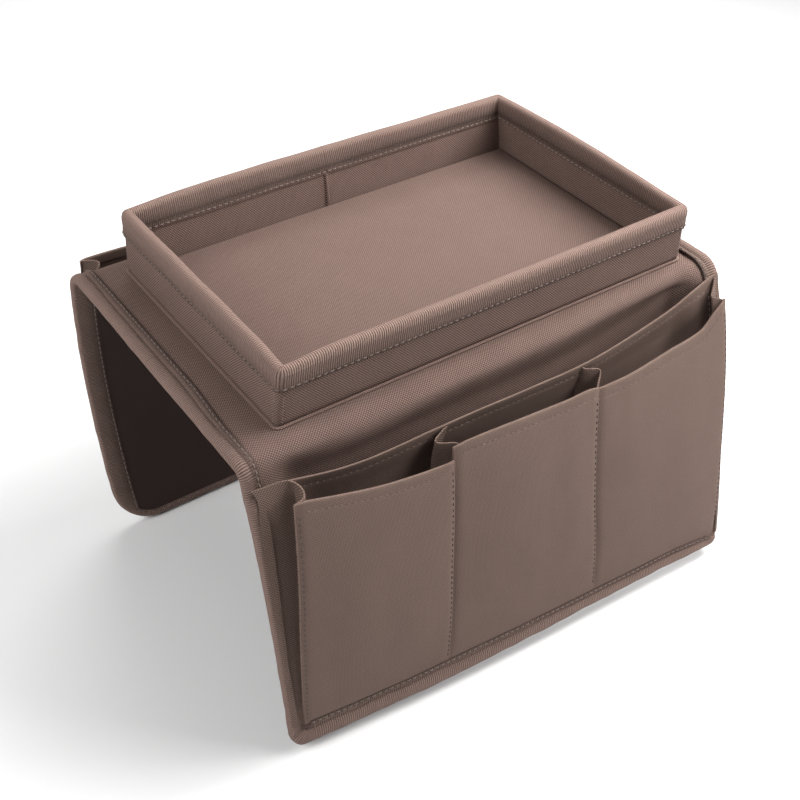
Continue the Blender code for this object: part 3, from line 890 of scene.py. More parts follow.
def tape_face(hang, s, out_s):
    """What the tape covers: on the near flap the panel's edge, and the pocket fronts at the foot."""
    if hang is FAR:
        return 0.0
    side = MAGAZINE_FACE * smooth((s - hang.flap_start) / 0.012)
    return side + (FOOT_FACE - MAGAZINE_FACE) * smooth(out_s * 1.3)


def front_limits(hang, x, s):
    """How far out the front lip lies: across, and down."""
    if hang is FAR:
        return CUT_EDGE - BINDING_WIDTH, hang.end - BINDING_WIDTH
    narrow = smooth((s - 0.030) / 0.040) * (1 - smooth((s - hang.flap_start) / 0.015))
    width = BINDING_WIDTH - (LEFT_NARROWING * narrow if x < 0 else 0)
    return CUT_EDGE - width, hang.flap_start + curve_through(FOOT_LIP, x)


def back_limits(hang, x, s):
    """How far out the back lip lies. On the far flap it shows more at the sides than at the foot."""
    if hang is FAR:
        return FAR_BACK_EDGE, hang.end - FAR_BACK_FOOT
    return CUT_EDGE - BINDING_WIDTH, hang.end - BINDING_WIDTH


def lip_place(limits, hang, x, s, out_x, out_s):
    """Where a lip lies: a little way in from the edge, and inside both limits."""
    in_x, in_s = x - out_x * LEAST_LIP, s - out_s * LEAST_LIP
    across, down = limits(hang, in_x, in_s)
    return math.copysign(min(abs(in_x), across), in_x), min(in_s, down)


def towards_lip(x, s, lip, share):
    """A share of the way from the raw edge to a lip of the tape."""
    return x + (lip[0] - x) * share, s + (lip[1] - s) * share


# %% Binding round each half of the saddle
RIGHT_LIFT = 0.0011
# The tape's fold is lighter in a narrow band: wear and a painted highlight.
TAPE_WEAR_AND_HIGHLIGHT = 0.20
WORN_AND_LIT_WIDTH = 0.003


def stitch_dimple(travelled):
    """Each stitch pulls the tape down, so the seam's depth follows their pitch."""
    return 0.0003 + 0.0002 * math.cos(2 * math.pi * travelled / STITCH_PITCH)


def bind(hang):
    """The tape, and the rows of stitches on its two lips."""
    rings, places, worn_and_lit = [], [], []
    seams = {"front": [], "back": []}
    travelled = 0.0
    previous = None
    for x, s, out_x, out_s in edge_path(hang):
        here = hang.lay(x, s, 0)
        travelled += (here - previous).length if previous else 0
        previous = here
        front = tape_face(hang, s, out_s) + GAP + TAPE
        back = BACK_FACE - 0.0004
        on_top = 1 - smooth((s - SHOULDER_START) / 0.02)
        foot = smooth(out_s * 1.3) if hang is NEAR else 0
        lips = {"front": lip_place(front_limits, hang, x, s, out_x, out_s),
                "back": lip_place(back_limits, hang, x, s, out_x, out_s)}
        widths = {lip: math.hypot(x - lips[lip][0], s - lips[lip][1]) for lip in lips}
        ripple = noise.noise(Vector((travelled * 95, hang.side * 5, 1)))
        slow = noise.noise(Vector((travelled * 34, hang.side * 9, 4)))
        pucker = 0.00035 * ripple + 0.0003 * slow
        trench = 0.00025 + on_top * (0.0006 + 0.0006 * ripple) + foot * 0.0011
        groove = (0.55 + 0.12 * foot + 0.08 * slow, trench)
        lift = RIGHT_LIFT * on_top if x > 0 else 0
        outer, inner = tape_profile(front, back, widths["front"], widths["back"],
                                    stitch_dimple(travelled), groove=groove,
                                    puff=0.0003 + 0.0006 * foot + 0.0002 * slow, lift=lift)
        profile = outer + inner[::-1]
        ring = []
        for e, o in profile:
            free = smooth((e + 0.006) / 0.007)
            e += pucker * free
            o += pucker * 0.6 * free
            if e > 0:
                place = (x + e * out_x, s + e * out_s)
            else:
                lip = "front" if o > (front + back) / 2 else "back"
                place = towards_lip(x, s, lips[lip], -e / widths[lip])
            ring.append(hang.lay(*place, o))
        rings.append(ring)
        around = line_lengths(outer)
        places.append([(travelled, length) for length in around + around[::-1]])
        worn_and_lit.append([TAPE_WEAR_AND_HIGHLIGHT * clamp(1 - abs(e) / WORN_AND_LIT_WIDTH) if o > front - 0.002 else 0.0
                     for e, o in profile])
        for lip, level, outwards in (("front", front + lift * 0.5, 0.001), ("back", back, -0.001)):
            place = towards_lip(x, s, lips[lip], (widths[lip] - SEAM_INSET) / widths[lip])
            point = hang.lay(*place, level)
            seams[lip].append((point, (hang.lay(*place, level + outwards) - point).normalized()))
    tape = sweep(f"{hang.label}_edge_binding", rings, places, tape_finish, wear_and_highlight=worn_and_lit)
    rows = [stitch_row(f"{hang.label}_binding_stitches_{lip}", seams[lip]) for lip in seams]
    return tape, rows


near_tape, near_tape_stitches = bind(NEAR)
far_tape, far_tape_stitches = bind(FAR)
print(near_tape.name, len(near_tape.data.polygons), "faces")

# %% [markdown]
# ## The tray
# The tray is four card walls between two skins of cloth, bound along the rim. Its ends lean in a
# little and its long sides lean out, because the cloth is cut slightly tight. The far and the right
# wall also flare out under the rim, most in the middle. A thin welt runs round the foot where it is
# sewn to the saddle. All of it follows one rounded rectangle, so one function gives the outline, and
# each skin is a band swept round it.

# %% Tray outline
TRAY_LENGTH = 0.274
TRAY_WIDTH = 0.168
TRAY_HEIGHT = 0.036
TRAY_MIDDLE = (0.005, -0.0025)
TRAY_CORNER = 0.0028
TRAY_BOARD = 0.0020
TRAY_CLOTH = 0.0008
END_LEAN = -0.0030
SIDE_LEAN = 0.0018
SIDE_BOW = 0.0008
TRAY_BASE = SANDWICH + GAP
TRAY_TOP = SANDWICH + TRAY_HEIGHT - TAPE - GAP
RIM_WIDTH = 0.0118
RIM_SEAM = 0.003
TRAY_STEP = 0.004
TRAY_SEAM = 0.0018 - TRAY_MIDDLE[0]
FAR_FLARE = ((-0.1342, 0.0), (-0.110, 0.0022), (-0.088, 0.0032), (-0.030, 0.0028), (0.020, 0.0021),
             (0.060, 0.0009), (0.1342, 0.0004))
RIGHT_FLARE = ((-0.0812, 0.0), (-0.045, 0.0014), (0.005, 0.0032), (0.056, 0.0020), (0.0812, 0.0004))


def tray_outline():
    """(x, y, out_x, out_y, travelled) round the tray, from the seam on the far wall."""
    half_x, half_y = TRAY_LENGTH / 2 - TRAY_CORNER, TRAY_WIDTH / 2 - TRAY_CORNER
    path = [(x, TRAY_WIDTH / 2, 0, 1) for x in steps(TRAY_SEAM, -half_x, TRAY_STEP)[:-1]]
    for turn, (way_x, way_y) in enumerate(((-1, 1), (-1, -1), (1, -1), (1, 1))):
        for i in range(6):
            angle = math.pi / 2 * (turn + 1 + i / 5)
            out_x, out_y = math.cos(angle), math.sin(angle)
            path.append((way_x * half_x + TRAY_CORNER * out_x, way_y * half_y + TRAY_CORNER * out_y,
                         out_x, out_y))
        if turn == 0:
            path += [(-TRAY_LENGTH / 2, y, -1, 0) for y in steps(half_y, -half_y, TRAY_STEP)[1:-1]]
        if turn == 1:
            path += [(x, -TRAY_WIDTH / 2, 0, -1) for x in steps(-half_x, half_x, TRAY_STEP)[1:-1]]
        if turn == 2:
            path += [(TRAY_LENGTH / 2, y, 1, 0) for y in steps(-half_y, half_y, TRAY_STEP)[1:-1]]
    last = steps(half_x, TRAY_SEAM, TRAY_STEP)[1:-1] + [TRAY_SEAM + 0.0002]
    path += [(x, TRAY_WIDTH / 2, 0, 1) for x in last]
    outline, travelled = [], 0.0
    for i, (x, y, out_x, out_y) in enumerate(path):
        if i:
            travelled += math.hypot(x - path[i - 1][0], y - path[i - 1][1])
        outline.append((x, y, out_x, out_y, travelled))
    return outline


def rim_share(z):
    """0 at the rim tape's seam, 1 at the wall's top."""
    return smooth((z - TRAY_TOP + RIM_WIDTH - RIM_SEAM) / (RIM_WIDTH - RIM_SEAM))


def tray_place(x, y, out_x, out_y, out, z):
    """A point of the tray, with its walls' lean and bow, and the flare of two of them under the rim."""
    if y > TRAY_WIDTH / 2 - TRAY_CORNER:
        out += curve_through(FAR_FLARE, x) * rim_share(z)
    elif x > TRAY_LENGTH / 2 - TRAY_CORNER:
        out += curve_through(RIGHT_FLARE, y) * rim_share(z)
    rise = (z - TRAY_BASE) / TRAY_HEIGHT
    lean_x = END_LEAN * rise * x / (TRAY_LENGTH / 2)
    bow = SIDE_BOW * rise * (1 - (x / (TRAY_LENGTH / 2)) ** 2)
    lean_y = (SIDE_LEAN * rise + bow) * y / (TRAY_WIDTH / 2)
    return Vector((TRAY_MIDDLE[0] + x + lean_x + out_x * out, TRAY_MIDDLE[1] + y + lean_y + out_y * out, z))


TRAY_OUTLINE = tray_outline()
print("tray outline", len(TRAY_OUTLINE), "points")


def tray_band(name, section, finish, wear_and_highlight=None):
    """A closed band round the tray. section(x, y, travelled) gives its two lines of (out, z)."""
    rings, places, worn_and_lit = [], [], []
    for x, y, out_x, out_y, travelled in TRAY_OUTLINE:
        outer, inner = section(x, y, travelled)
        line = outer + inner[::-1]
        rings.append([tray_place(x, y, out_x, out_y, out, z) for out, z in line])
        depths = line_lengths(outer)
        places.append([(travelled, depth) for depth in depths + depths[::-1]])
        worn_and_lit.append([wear_and_highlight(out, z) if wear_and_highlight else 0.0 for out, z in line])
    return sweep(name, rings, places, finish, closed=True, wear_and_highlight=worn_and_lit)


# %% Tray skins
LINING_OUT = -(TRAY_CLOTH + GAP + TRAY_BOARD + GAP)
LINING_SWELL = 0.0005
OUTER_PUFF = 0.0003
FOOT_TURN = 0.0009
SKIN_STEP = 0.003


def outer_skin(x, y, travelled):
    """The outer cloth of the walls, turned in at its foot where it is sewn down."""
    puff = OUTER_PUFF * noise.noise(Vector((travelled * 35, 0, 2)))
    heights = [TRAY_BASE + d for d in (0, 0.0008, 0.0014, 0.0020, 0.0028)]
    heights += steps(TRAY_BASE + 0.004, TRAY_TOP, TRAY_STEP)
    outer = []
    for z in heights:
        seam = -FOOT_TURN * (1 - smooth((z - TRAY_BASE - 0.0010) / 0.0016))
        outer.append((seam + puff * math.sin(math.pi * clamp((z - TRAY_BASE) / TRAY_HEIGHT)), z))
    return outer, [(out - TRAY_CLOTH, z) for out, z in outer]


def inner_skin(x, y, travelled):
    """The lining of the walls, which is not stretched and swells a little between its seams."""
    heights = steps(TRAY_BASE, TRAY_TOP, SKIN_STEP)
    inner = []
    for z in heights:
        rise = clamp((z - TRAY_BASE) / TRAY_HEIGHT)
        swell = LINING_SWELL + 0.0003 * noise.noise(Vector((travelled * 22, z * 60, 6)))
        inner.append((LINING_OUT - TRAY_CLOTH - swell * math.sin(math.pi * rise), z))
    return [(out + TRAY_CLOTH, z) for out, z in inner], inner


tray_outer = tray_band("tray_outer_skin", outer_skin, tray_finish)
tray_inner = tray_band("tray_inner_skin", inner_skin, tray_finish)

# %% [markdown]
# ### Rim, welt and walls
# The rim is bound with the same tape as the saddle, turned upright, so its profile function is used
# again with e pointing up. Its roll stands a little above the walls, less at the near left corner. The
# welt is a narrow roll of the tray's cloth. The four boards stand between the skins and are never
# seen, but they take part, so they are made as well.

# %% Rim and welt
RIM_LIFT = 0.0024
RIM_FRONT = GAP + TAPE
RIM_BACK = LINING_OUT - TRAY_CLOTH - LINING_SWELL - TAPE
RIM_WAVE = 0.0003
RIM_WEAR_AND_HIGHLIGHT = 0.45
CORNER_LOWER = 0.75


def rim_section(x, y, travelled):
    """The rim tape's outer and inner line, lifted by its roll."""
    outer, inner = tape_profile(RIM_FRONT, RIM_BACK, RIM_WIDTH, RIM_WIDTH,
                                stitch_dimple(travelled), swell=0.0030)
    rise = TRAY_TOP + RIM_WAVE * noise.noise(Vector((travelled * 40, 3, 3)))
    at_corner = smooth((-x - 0.105) / 0.03) * smooth((-y - 0.055) / 0.025)
    lift = RIM_LIFT * (1 - CORNER_LOWER * at_corner)

    def rolled(line):
        return [(o, rise + e + lift * rim_share(TRAY_TOP + e)) for e, o in line]

    return rolled(outer), rolled(inner)


# The rim's top is lighter: wear and a painted highlight.
def rim_wear_and_highlight(out, z):
    return RIM_WEAR_AND_HIGHLIGHT * smooth((z - TRAY_TOP - RIM_LIFT + 0.0022) / 0.002)


tray_rim = tray_band("tray_rim_tape", rim_section, tape_finish, wear_and_highlight=rim_wear_and_highlight)


def welt_section(x, y, travelled):
    """Half a round for the welt's outside, and a straight line inside it."""
    line = []
    for i in range(9):
        angle = math.pi * (i / 8) - math.pi / 2
        line.append((0.0002 + 0.0008 * math.cos(angle), TRAY_BASE + 0.0005 + 0.0005 * math.sin(angle)))
    return line, [(-0.0006, z) for out, z in line]


# The welt is lighter all over: wear and a painted highlight on its roll.
tray_welt = tray_band("tray_foot_welt", welt_section, tray_finish, wear_and_highlight=lambda out, z: 0.5)


def upright_path(out, z, side):
    """A path round the tray for a row of stitches at a height."""
    path = []
    for x, y, out_x, out_y, travelled in TRAY_OUTLINE + TRAY_OUTLINE[:1]:
        point = tray_place(x, y, out_x, out_y, out, z)
        path.append((point, Vector((out_x, out_y, 0)) * side))
    return path


rim_low = TRAY_TOP - RIM_WIDTH + 0.0022
rim_stitches = [
    stitch_row("rim_stitches_outside", upright_path(RIM_FRONT, rim_low, 1)),
    stitch_row("rim_stitches_inside", upright_path(RIM_BACK, rim_low, -1)),
]

# %% Tray boards
WALL_END = 0.0032
BOARD_SLACK = 0.0001


def wall_board(name, along_x, sign):
    """One upright board, swept along the wall between the two skins."""
    outer_out = -(TRAY_CLOTH + GAP)
    inner_out = outer_out - TRAY_BOARD
    reach = (TRAY_LENGTH if along_x else TRAY_WIDTH) / 2 - WALL_END
    if not along_x:
        reach -= TRAY_BOARD
    rings, places = [], []
    for t in steps(-reach, reach, 0.008):
        if along_x:
            x, y, out_x, out_y = t, sign * TRAY_WIDTH / 2, 0, sign
        else:
            x, y, out_x, out_y = sign * TRAY_LENGTH / 2, t, sign, 0
        heights = steps(TRAY_BASE, TRAY_TOP, 0.006)
        outer = [tray_place(x, y, out_x, out_y, outer_out - BOARD_SLACK, z) for z in heights]
        inner = [tray_place(x, y, out_x, out_y, inner_out + BOARD_SLACK, z) for z in heights]
        rings.append(outer + inner[::-1])
        places.append([(t, z) for z in heights] + [(t, z) for z in reversed(heights)])
    return sweep(name, rings, places, board_finish)


wall_boards = {
    "near": wall_board("tray_stiffener_near", True, -1),
    "far": wall_board("tray_stiffener_far", True, 1),
    "left": wall_board("tray_stiffener_left", False, -1),
    "right": wall_board("tray_stiffener_right", False, 1),
}

# %% [markdown]
# ### The tray's floor
# The floor is a card wrapped in cloth and laid in. The cloth rolls down round the card's edge, which
# leaves the dark line all round, and it is a touch fuller in the middle. Two small offsets do this: a
# crown over the whole floor and a quick fall in the last two millimetres.

# %% Floor
FLOOR_BOARD = 0.0015
FLOOR_CLOTH = 0.0008
FLOOR_ROLL = 0.0016
FLOOR_FALL = 0.0006
FLOOR_MARGIN = 0.004
FLOOR_STEP = 0.006


def rolled_over(share):
    """How far a rolled edge has fallen, as a quarter of a circle: 1 at the edge, 0 past the roll."""
    return 1 - math.sqrt(clamp(1 - (1 - clamp(share)) ** 2))


def floor_lines(half):
    """Lines across the floor, closer together where the cloth rolls over the card's edge."""
    edges = [half - d for d in (0, 0.0003, 0.0008, FLOOR_ROLL)]
    inside = steps(-half + FLOOR_MARGIN, half - FLOOR_MARGIN, FLOOR_STEP)
    return [-line for line in edges] + inside + edges[::-1]


def floor_piece(name, low, high, inset, crown, finish):
    """A plain card where crown is 0, and otherwise the cloth over it, rolled down round its edge."""
    half_x = TRAY_LENGTH / 2 + LINING_OUT - TRAY_CLOTH - inset
    half_y = TRAY_WIDTH / 2 + LINING_OUT - TRAY_CLOTH - inset
    columns, rows = floor_lines(half_x), floor_lines(half_y)
    rings, places = [], []
    for x in columns:
        top, base = [], []
        for y in rows:
            edge = min(half_x - abs(x), half_y - abs(y))
            fall = crown and FLOOR_FALL * rolled_over(edge / FLOOR_ROLL)
            lift = crown * (1 - (x / half_x) ** 2) * (1 - (y / half_y) ** 2)
            lift += crown * 0.3 * noise.noise(Vector((x * 16, y * 16, 5)))
            top.append(Vector((TRAY_MIDDLE[0] + x, TRAY_MIDDLE[1] + y, high + lift - fall)))
            base.append(Vector((TRAY_MIDDLE[0] + x, TRAY_MIDDLE[1] + y, low)))
        rings.append(top + base[::-1])
        places.append([(x, y) for y in rows] + [(x, y) for y in reversed(rows)])
    return sweep(name, rings, places, finish)


floor_base = TRAY_BASE + FLOOR_BOARD + GAP
floor_board = floor_piece("tray_floor_stiffener", TRAY_BASE, TRAY_BASE + FLOOR_BOARD,
                          inset=0.0030, crown=0, finish=board_finish)
floor_cloth = floor_piece("tray_floor_skin", floor_base, floor_base + FLOOR_CLOTH,
                          inset=0.0019, crown=0.0007, finish=floor_finish)

# %% [markdown]
# ### Seams of the tray
# The lining's two ends meet on the far wall, where one end laps over the other. At each corner the
# outer skin is sewn from rim to foot, with a row of stitches on either side of the edge.

# %% Lap and corner seams
LAP_WIDTH = 0.0024
LAP_HEIGHT = 0.0011
LAP_SLANT = 0.05
LAP_BASE = LINING_OUT - TRAY_CLOTH - 0.0004
CORNER_SEAM = TRAY_CORNER + 0.0004


def lining_lap():
    """A narrow strip that makes the ridge of the lapped seam on the far wall."""
    heights = steps(floor_base + 0.0012, TRAY_TOP - RIM_WIDTH + 0.001, SKIN_STEP)
    rings, places = [], []
    for x in steps(TRAY_SEAM - LAP_WIDTH, TRAY_SEAM, LAP_WIDTH / 8):
        ridge = math.sqrt(clamp(math.sin(math.pi * (TRAY_SEAM - x) / LAP_WIDTH)))
        top = LAP_BASE - 0.0001 - LAP_HEIGHT * ridge
        outer, inner = [], []
        for z in heights:
            slant = (TRAY_TOP - z) * LAP_SLANT
            outer.append(tray_place(x + slant, TRAY_WIDTH / 2, 0, 1, LAP_BASE, z))
            inner.append(tray_place(x + slant, TRAY_WIDTH / 2, 0, 1, top, z))
        rings.append(outer + inner[::-1])
        places.append([(x, z) for z in heights] + [(x, z) for z in reversed(heights)])
    return sweep("tray_lining_lap", rings, places, tray_finish)


tray_lap = lining_lap()

corner_seams = []
for number, (sign_x, sign_y) in enumerate(((-1, -1), (1, -1), (1, 1), (-1, 1)), 1):
    for face in ("end", "side"):
        path = []
        for z in steps(TRAY_BASE + 0.002, TRAY_TOP - RIM_WIDTH, SEAM_STEP):
            if face == "end":
                x, y = sign_x * TRAY_LENGTH / 2, sign_y * (TRAY_WIDTH / 2 - CORNER_SEAM)
                normal = Vector((sign_x, 0, 0))
            else:
                x, y = sign_x * (TRAY_LENGTH / 2 - CORNER_SEAM), sign_y * TRAY_WIDTH / 2
                normal = Vector((0, sign_y, 0))
            path.append((tray_place(x, y, normal.x, normal.y, 0, z), normal))
        corner_seams.append(stitch_row(f"tray_corner_stitches_{number}_{face}", path, pitch=0.0024,
                                       length=0.0018, radius=FINE_RADIUS))

# %% [markdown]
# ## The near pockets
# A magazine panel lies over the whole near flap, and three pocket fronts stand off it on folded
# gussets. A pocket hangs open at the top because its cloth sags between the gussets, and it closes
# towards its foot. The mouths here are short lists of how far each one hangs below the shoulder, from
# left to right, joined by a smooth curve.

# %% Mouths and seams of the near fronts
FRONT_MOUTHS = {
    "left": ((-0.1435, 0.0094), (-0.1383, 0.0096), (-0.1310, 0.0116), (-0.1180, 0.0152), (-0.0970, 0.0203),
             (-0.0820, 0.0230), (-0.0670, 0.0252), (-0.0520, 0.0266)),
    "middle": ((-0.050, 0.0190), (-0.0442, 0.0182), (-0.0343, 0.0184), (0.000, 0.0207), (0.0276, 0.0226),
               (0.0435, 0.0228), (0.0500, 0.0245)),
    "right": ((0.0510, 0.0248), (0.0754, 0.0253), (0.1065, 0.0228), (0.1327, 0.0203), (0.1420, 0.0143),
              (0.1540, 0.0076)),
}
SEAM_LEFT = ((0.009, -0.1432), (0.043, -0.1457), (0.069, -0.1477), (0.105, -0.1504), (0.146, -0.1519),
             (0.166, -0.1521))
SEAM_ONE = ((0.020, -0.0500), (0.044, -0.0514), (0.060, -0.0525), (0.094, -0.0548), (0.132, -0.0563),
            (0.165, -0.0579))
SEAM_TWO = ((0.022, 0.0505), (0.035, 0.0494), (0.066, 0.0474), (0.102, 0.0473), (0.125, 0.0490),
            (0.169, 0.0505))
SEAM_RIGHT = ((0.008, 0.1532), (0.046, 0.1550), (0.116, 0.1545), (0.157, 0.1552), (0.172, 0.1540))
FRONT_SEAMS = {"left": (SEAM_LEFT, SEAM_ONE), "middle": (SEAM_ONE, SEAM_TWO),
               "right": (SEAM_TWO, SEAM_RIGHT)}
for name, points in FRONT_MOUTHS.items():
    print(name, "mouth", round(points[-1][0] - points[0][0], 4))

# %% [markdown]
# ### How far the pockets stand off
# A front's offset is its depth at the mouth, closing towards the foot, and a puff that is fullest
# halfway between its seams. The folds are narrow bumps in chosen places with only a little noise,
# because noise alone never looks like cloth that hangs from its seams.

# %% Offsets of the panel and the fronts
POCKET_DEPTH = ((-0.145, 0.0175), (-0.048, 0.0165), (0.0525, 0.0145), (0.157, 0.0115))
UNDER_TAPE = 0.0025
MAGAZINE_BULGE = 0.0045
PANEL_HOLLOW = ((0.0, 0.0), (0.008, 0.0032), (0.020, 0.0080), (0.034, 0.0090), (0.080, 0.0))
HOLLOW_REACH = 0.122
HOLLOW_FADE = 0.026
HEM = 0.0062
HEM_SEAM = HEM - 0.0003
HEM_STEP = 0.0006
HEM_EXTRA = 0.0008
FRONT_PUFF = 0.0022
FRONT_CLOSING = 0.72
SEAM_DRAW = 0.0008
SEAM_REACH = 0.0035


def foot_down(x):
    """The fronts end a little way under the tape's lip."""
    return curve_through(FOOT_LIP, x) + UNDER_TAPE


def magazine_offset(x, s):
    """Inner face of the magazine panel above the flap cloth. It hollows below its mouth."""
    down = s - NEAR.flap_start
    top = curve_through(MAGAZINE_TOP, x)
    closed = clamp((down - top) / (FLAP_LENGTH - BINDING_WIDTH - top))
    across = clamp(1 - (abs(x) / (HALF_WIDTH - BINDING_WIDTH)) ** 2)
    inside = 1 - smooth((abs(x) - HOLLOW_REACH) / HOLLOW_FADE)
    hollow = curve_through(PANEL_HOLLOW, down - top) * inside
    return GAP + (HEM_EXTRA + MAGAZINE_BULGE * across) * (1 - closed) ** 1.4 - hollow


def soft_folds(x, down):
    """Folds that the weight of the cloth draws: beside the second divider, and below its corners."""
    fold = -0.0009 * math.exp(-(((x - 0.0640) / 0.0035) ** 2)) * (1 - smooth((down - 0.02) / 0.07))
    fold += 0.0006 * math.exp(-(((x - 0.0730) / 0.0040) ** 2)) * (1 - smooth((down - 0.02) / 0.06))
    slanted = x + 0.0720 - (0.030 - down) * 0.8
    fold += 0.0006 * math.exp(-((slanted / 0.0030) ** 2)) * math.exp(-(((down - 0.032) / 0.010) ** 2))
    fold += 0.0007 * noise.noise(Vector((x * 38, down * 16, 8)))
    return fold


def seam_draw(share, width, up):
    """How far a front is drawn in beside its seams, but not at its foot."""
    beside = 1 - smooth(min(share, 1 - share) * width / SEAM_REACH)
    return SEAM_DRAW * beside * smooth(up * 12)


def front_offset(name, x, s):
    """Inner face of a pocket front, fuller between its seams than at them."""
    down = s - NEAR.flap_start
    mouth = curve_through(FRONT_MOUTHS[name], x)
    foot = foot_down(x)
    up = clamp((foot - down) / (foot - mouth))
    left, right = (curve_through(seam, down) for seam in FRONT_SEAMS[name])
    share = clamp((x - left) / (right - left))
    full = 4 * share * (1 - share)
    depth = curve_through(POCKET_DEPTH, x)
    puff = FRONT_PUFF * full**0.7 + soft_folds(x, down) * smooth(full * 2)
    puff *= math.sin(math.pi * clamp(up)) ** 0.6
    return FOOT_LEVEL + (depth - FOOT_LEVEL) * up**FRONT_CLOSING + puff - seam_draw(share, right - left, up)


# %% Hemmed sheets
HEM_ROWS = (0, 0.0003, 0.0008, 0.0016, 0.0034, HEM - HEM_STEP, HEM, HEM + HEM_STEP, HEM + 0.0016)
LOWER_ROWS = 34
HEM_ROLL = 0.0008
ROLL_DRAW = 0.0007
SEAM_SINK = 0.00035
HEM_WEAR_AND_HIGHLIGHT = 0.35
HEM_WORN_AND_LIT = 0.0014
EDGE_SHARES = (0, 0.006, 0.015, 0.03, 0.05)


def even_rows(mouth, foot):
    """Rows down a hemmed panel, as many in every column: close at the mouth and the hem's step."""
    lowest = mouth + HEM_ROWS[-1]
    lower = [lowest + (foot - lowest) * i / LOWER_ROWS for i in range(1, LOWER_ROWS + 1)]
    return [mouth + d for d in HEM_ROWS] + lower


def shares_across(size):
    """Shares of a front's width, closer together at its two seams."""
    return [*EDGE_SHARES, *steps(0.08, 0.92, size), *(1 - share for share in reversed(EDGE_SHARES))]


def hemmed(base, depth, inner):
    """A face of a hemmed cloth whose inner face is at base: rolled at the mouth, thick in the hem."""
    drawn = ROLL_DRAW * rolled_over(depth / HEM_ROLL)
    drawn += SEAM_SINK * math.exp(-(((depth - HEM_SEAM) / HEM_STEP) ** 2))
    thick = POCKET_CLOTH + HEM_EXTRA * (1 - smooth((depth - HEM) / HEM_STEP))
    if inner:
        return base + POCKET_CLOTH - thick + drawn * 0.6
    return base + POCKET_CLOTH - drawn


# A hem's folded top edge is lighter: wear and a painted highlight.
def hem_wear_and_highlight(depth):
    return HEM_WEAR_AND_HIGHLIGHT * clamp(1 - depth / HEM_WORN_AND_LIT)


def hem_path(mouth, first, last):
    """Places of a hem's stitches, a hem's width below its mouth."""
    return [(x, mouth(x) + HEM_SEAM) for x in steps(first, last, SEAM_STEP)]


# %% Magazine panel
def magazine_mouth(x):
    return NEAR.flap_start + curve_through(MAGAZINE_TOP, x)


def magazine_face(x, s, inner):
    return hemmed(magazine_offset(x, s), s - magazine_mouth(x), inner)


def magazine_rows(column):
    foot = NEAR.end - TAPE - GAP - 0.0004
    radius = NEAR.corner_radius - TAPE - GAP
    return even_rows(magazine_mouth(column), corner_end(NEAR, column, CUT_EDGE, foot, radius))


MAGAZINE_SEAM = 0.150
magazine_half = CUT_EDGE - 0.0006
magazine = lay_sheet("magazine_pocket_panel", NEAR, steps(-magazine_half, magazine_half, COLUMN_STEP),
                     magazine_rows, magazine_face, pocket_finish,
                     wear_and_highlight=lambda x, s: hem_wear_and_highlight(s - magazine_mouth(x)))
magazine_seam = hem_path(magazine_mouth, -MAGAZINE_SEAM, MAGAZINE_SEAM)
magazine_stitches = stitch_row("magazine_hem_stitches", surface_path(NEAR, magazine_seam, magazine_face),
                               radius=FINE_RADIUS, finish=hem_finish)
print(magazine.name, len(magazine.data.polygons), "faces")


# %% Pocket fronts
def front_mouth(name, x):
    return NEAR.flap_start + curve_through(FRONT_MOUTHS[name], x)


def front_face(name, x, s, inner):
    return hemmed(front_offset(name, x, s), s - front_mouth(name, x), inner)


def pocket_front(name):
    """A front between its two seams, which aren't straight, below its own mouth."""
    seams = FRONT_SEAMS[name]

    def x_at(share, s):
        down = s - NEAR.flap_start
        left, right = (curve_through(seam, down) for seam in seams)
        return left + (right - left) * share

    def rows(share):
        mouth = 0.02
        for _ in range(3):
            mouth = curve_through(FRONT_MOUTHS[name], x_at(share, NEAR.flap_start + mouth))
        foot = foot_down(x_at(share, NEAR.flap_start + FOOT_LIP[0][1]))
        return even_rows(NEAR.flap_start + mouth, NEAR.flap_start + foot)

    def wear_and_highlight(x, s):
        return hem_wear_and_highlight(s - front_mouth(name, x))

    return lay_sheet(f"pocket_front_{name}", NEAR, shares_across(0.04), rows, partial(front_face, name),
                     pocket_finish, across=x_at, wear_and_highlight=wear_and_highlight)


pocket_fronts = {name: pocket_front(name) for name in FRONT_MOUTHS}
for name, piece in pocket_fronts.items():
    print(piece.name, len(piece.data.polygons), "faces")

# %% [markdown]
# ## The gussets
# A gusset is a strip of cloth folded like a bellows, sewn to the magazine panel at the back and to a
# front at its ridge. Its top edge is what shows: it runs out, folds aside and comes back to the
# ridge. We write that edge as a few places (x, down, o), and let the strip close towards its foot by
# drawing every place towards the straight line between its two seams.

# %% Where the near gussets run
GUSSET_TOPS = {
    "left_end": ((-0.1566, 0.0012, 0.0032), (-0.1480, 0.0028, 0.0034), (-0.1395, 0.0045, 0.0040),
                 (-0.1358, 0.0077, 0.0090), (-0.1358, 0.0100, 0.0130), (-0.1378, 0.0102, 0.0160),
                 (-0.1430, 0.0100, 0.0172)),
    "divider_1": ((-0.0459, 0.0124, 0.0062), (-0.0505, 0.0145, 0.0075), (-0.0542, 0.0168, 0.0092),
                  (-0.0520, 0.0187, 0.0104), (-0.0480, 0.0195, 0.0120), (-0.0437, 0.0206, 0.0132),
                  (-0.0430, 0.0222, 0.0146), (-0.0474, 0.0246, 0.0158), (-0.0489, 0.0262, 0.0166)),
    "divider_2": ((0.0470, 0.0138, 0.0060), (0.0489, 0.0151, 0.0072), (0.0529, 0.0163, 0.0083),
                  (0.0572, 0.0176, 0.0092), (0.0580, 0.0198, 0.0104), (0.0544, 0.0235, 0.0125),
                  (0.0523, 0.0262, 0.0142)),
    "right_end": ((0.1545, -0.0030, 0.0028), (0.1520, 0.0010, 0.0050), (0.1486, 0.0049, 0.0078),
                  (0.1500, 0.0064, 0.0090), (0.1540, 0.0080, 0.0100), (0.1565, 0.0092, 0.0112)),
}
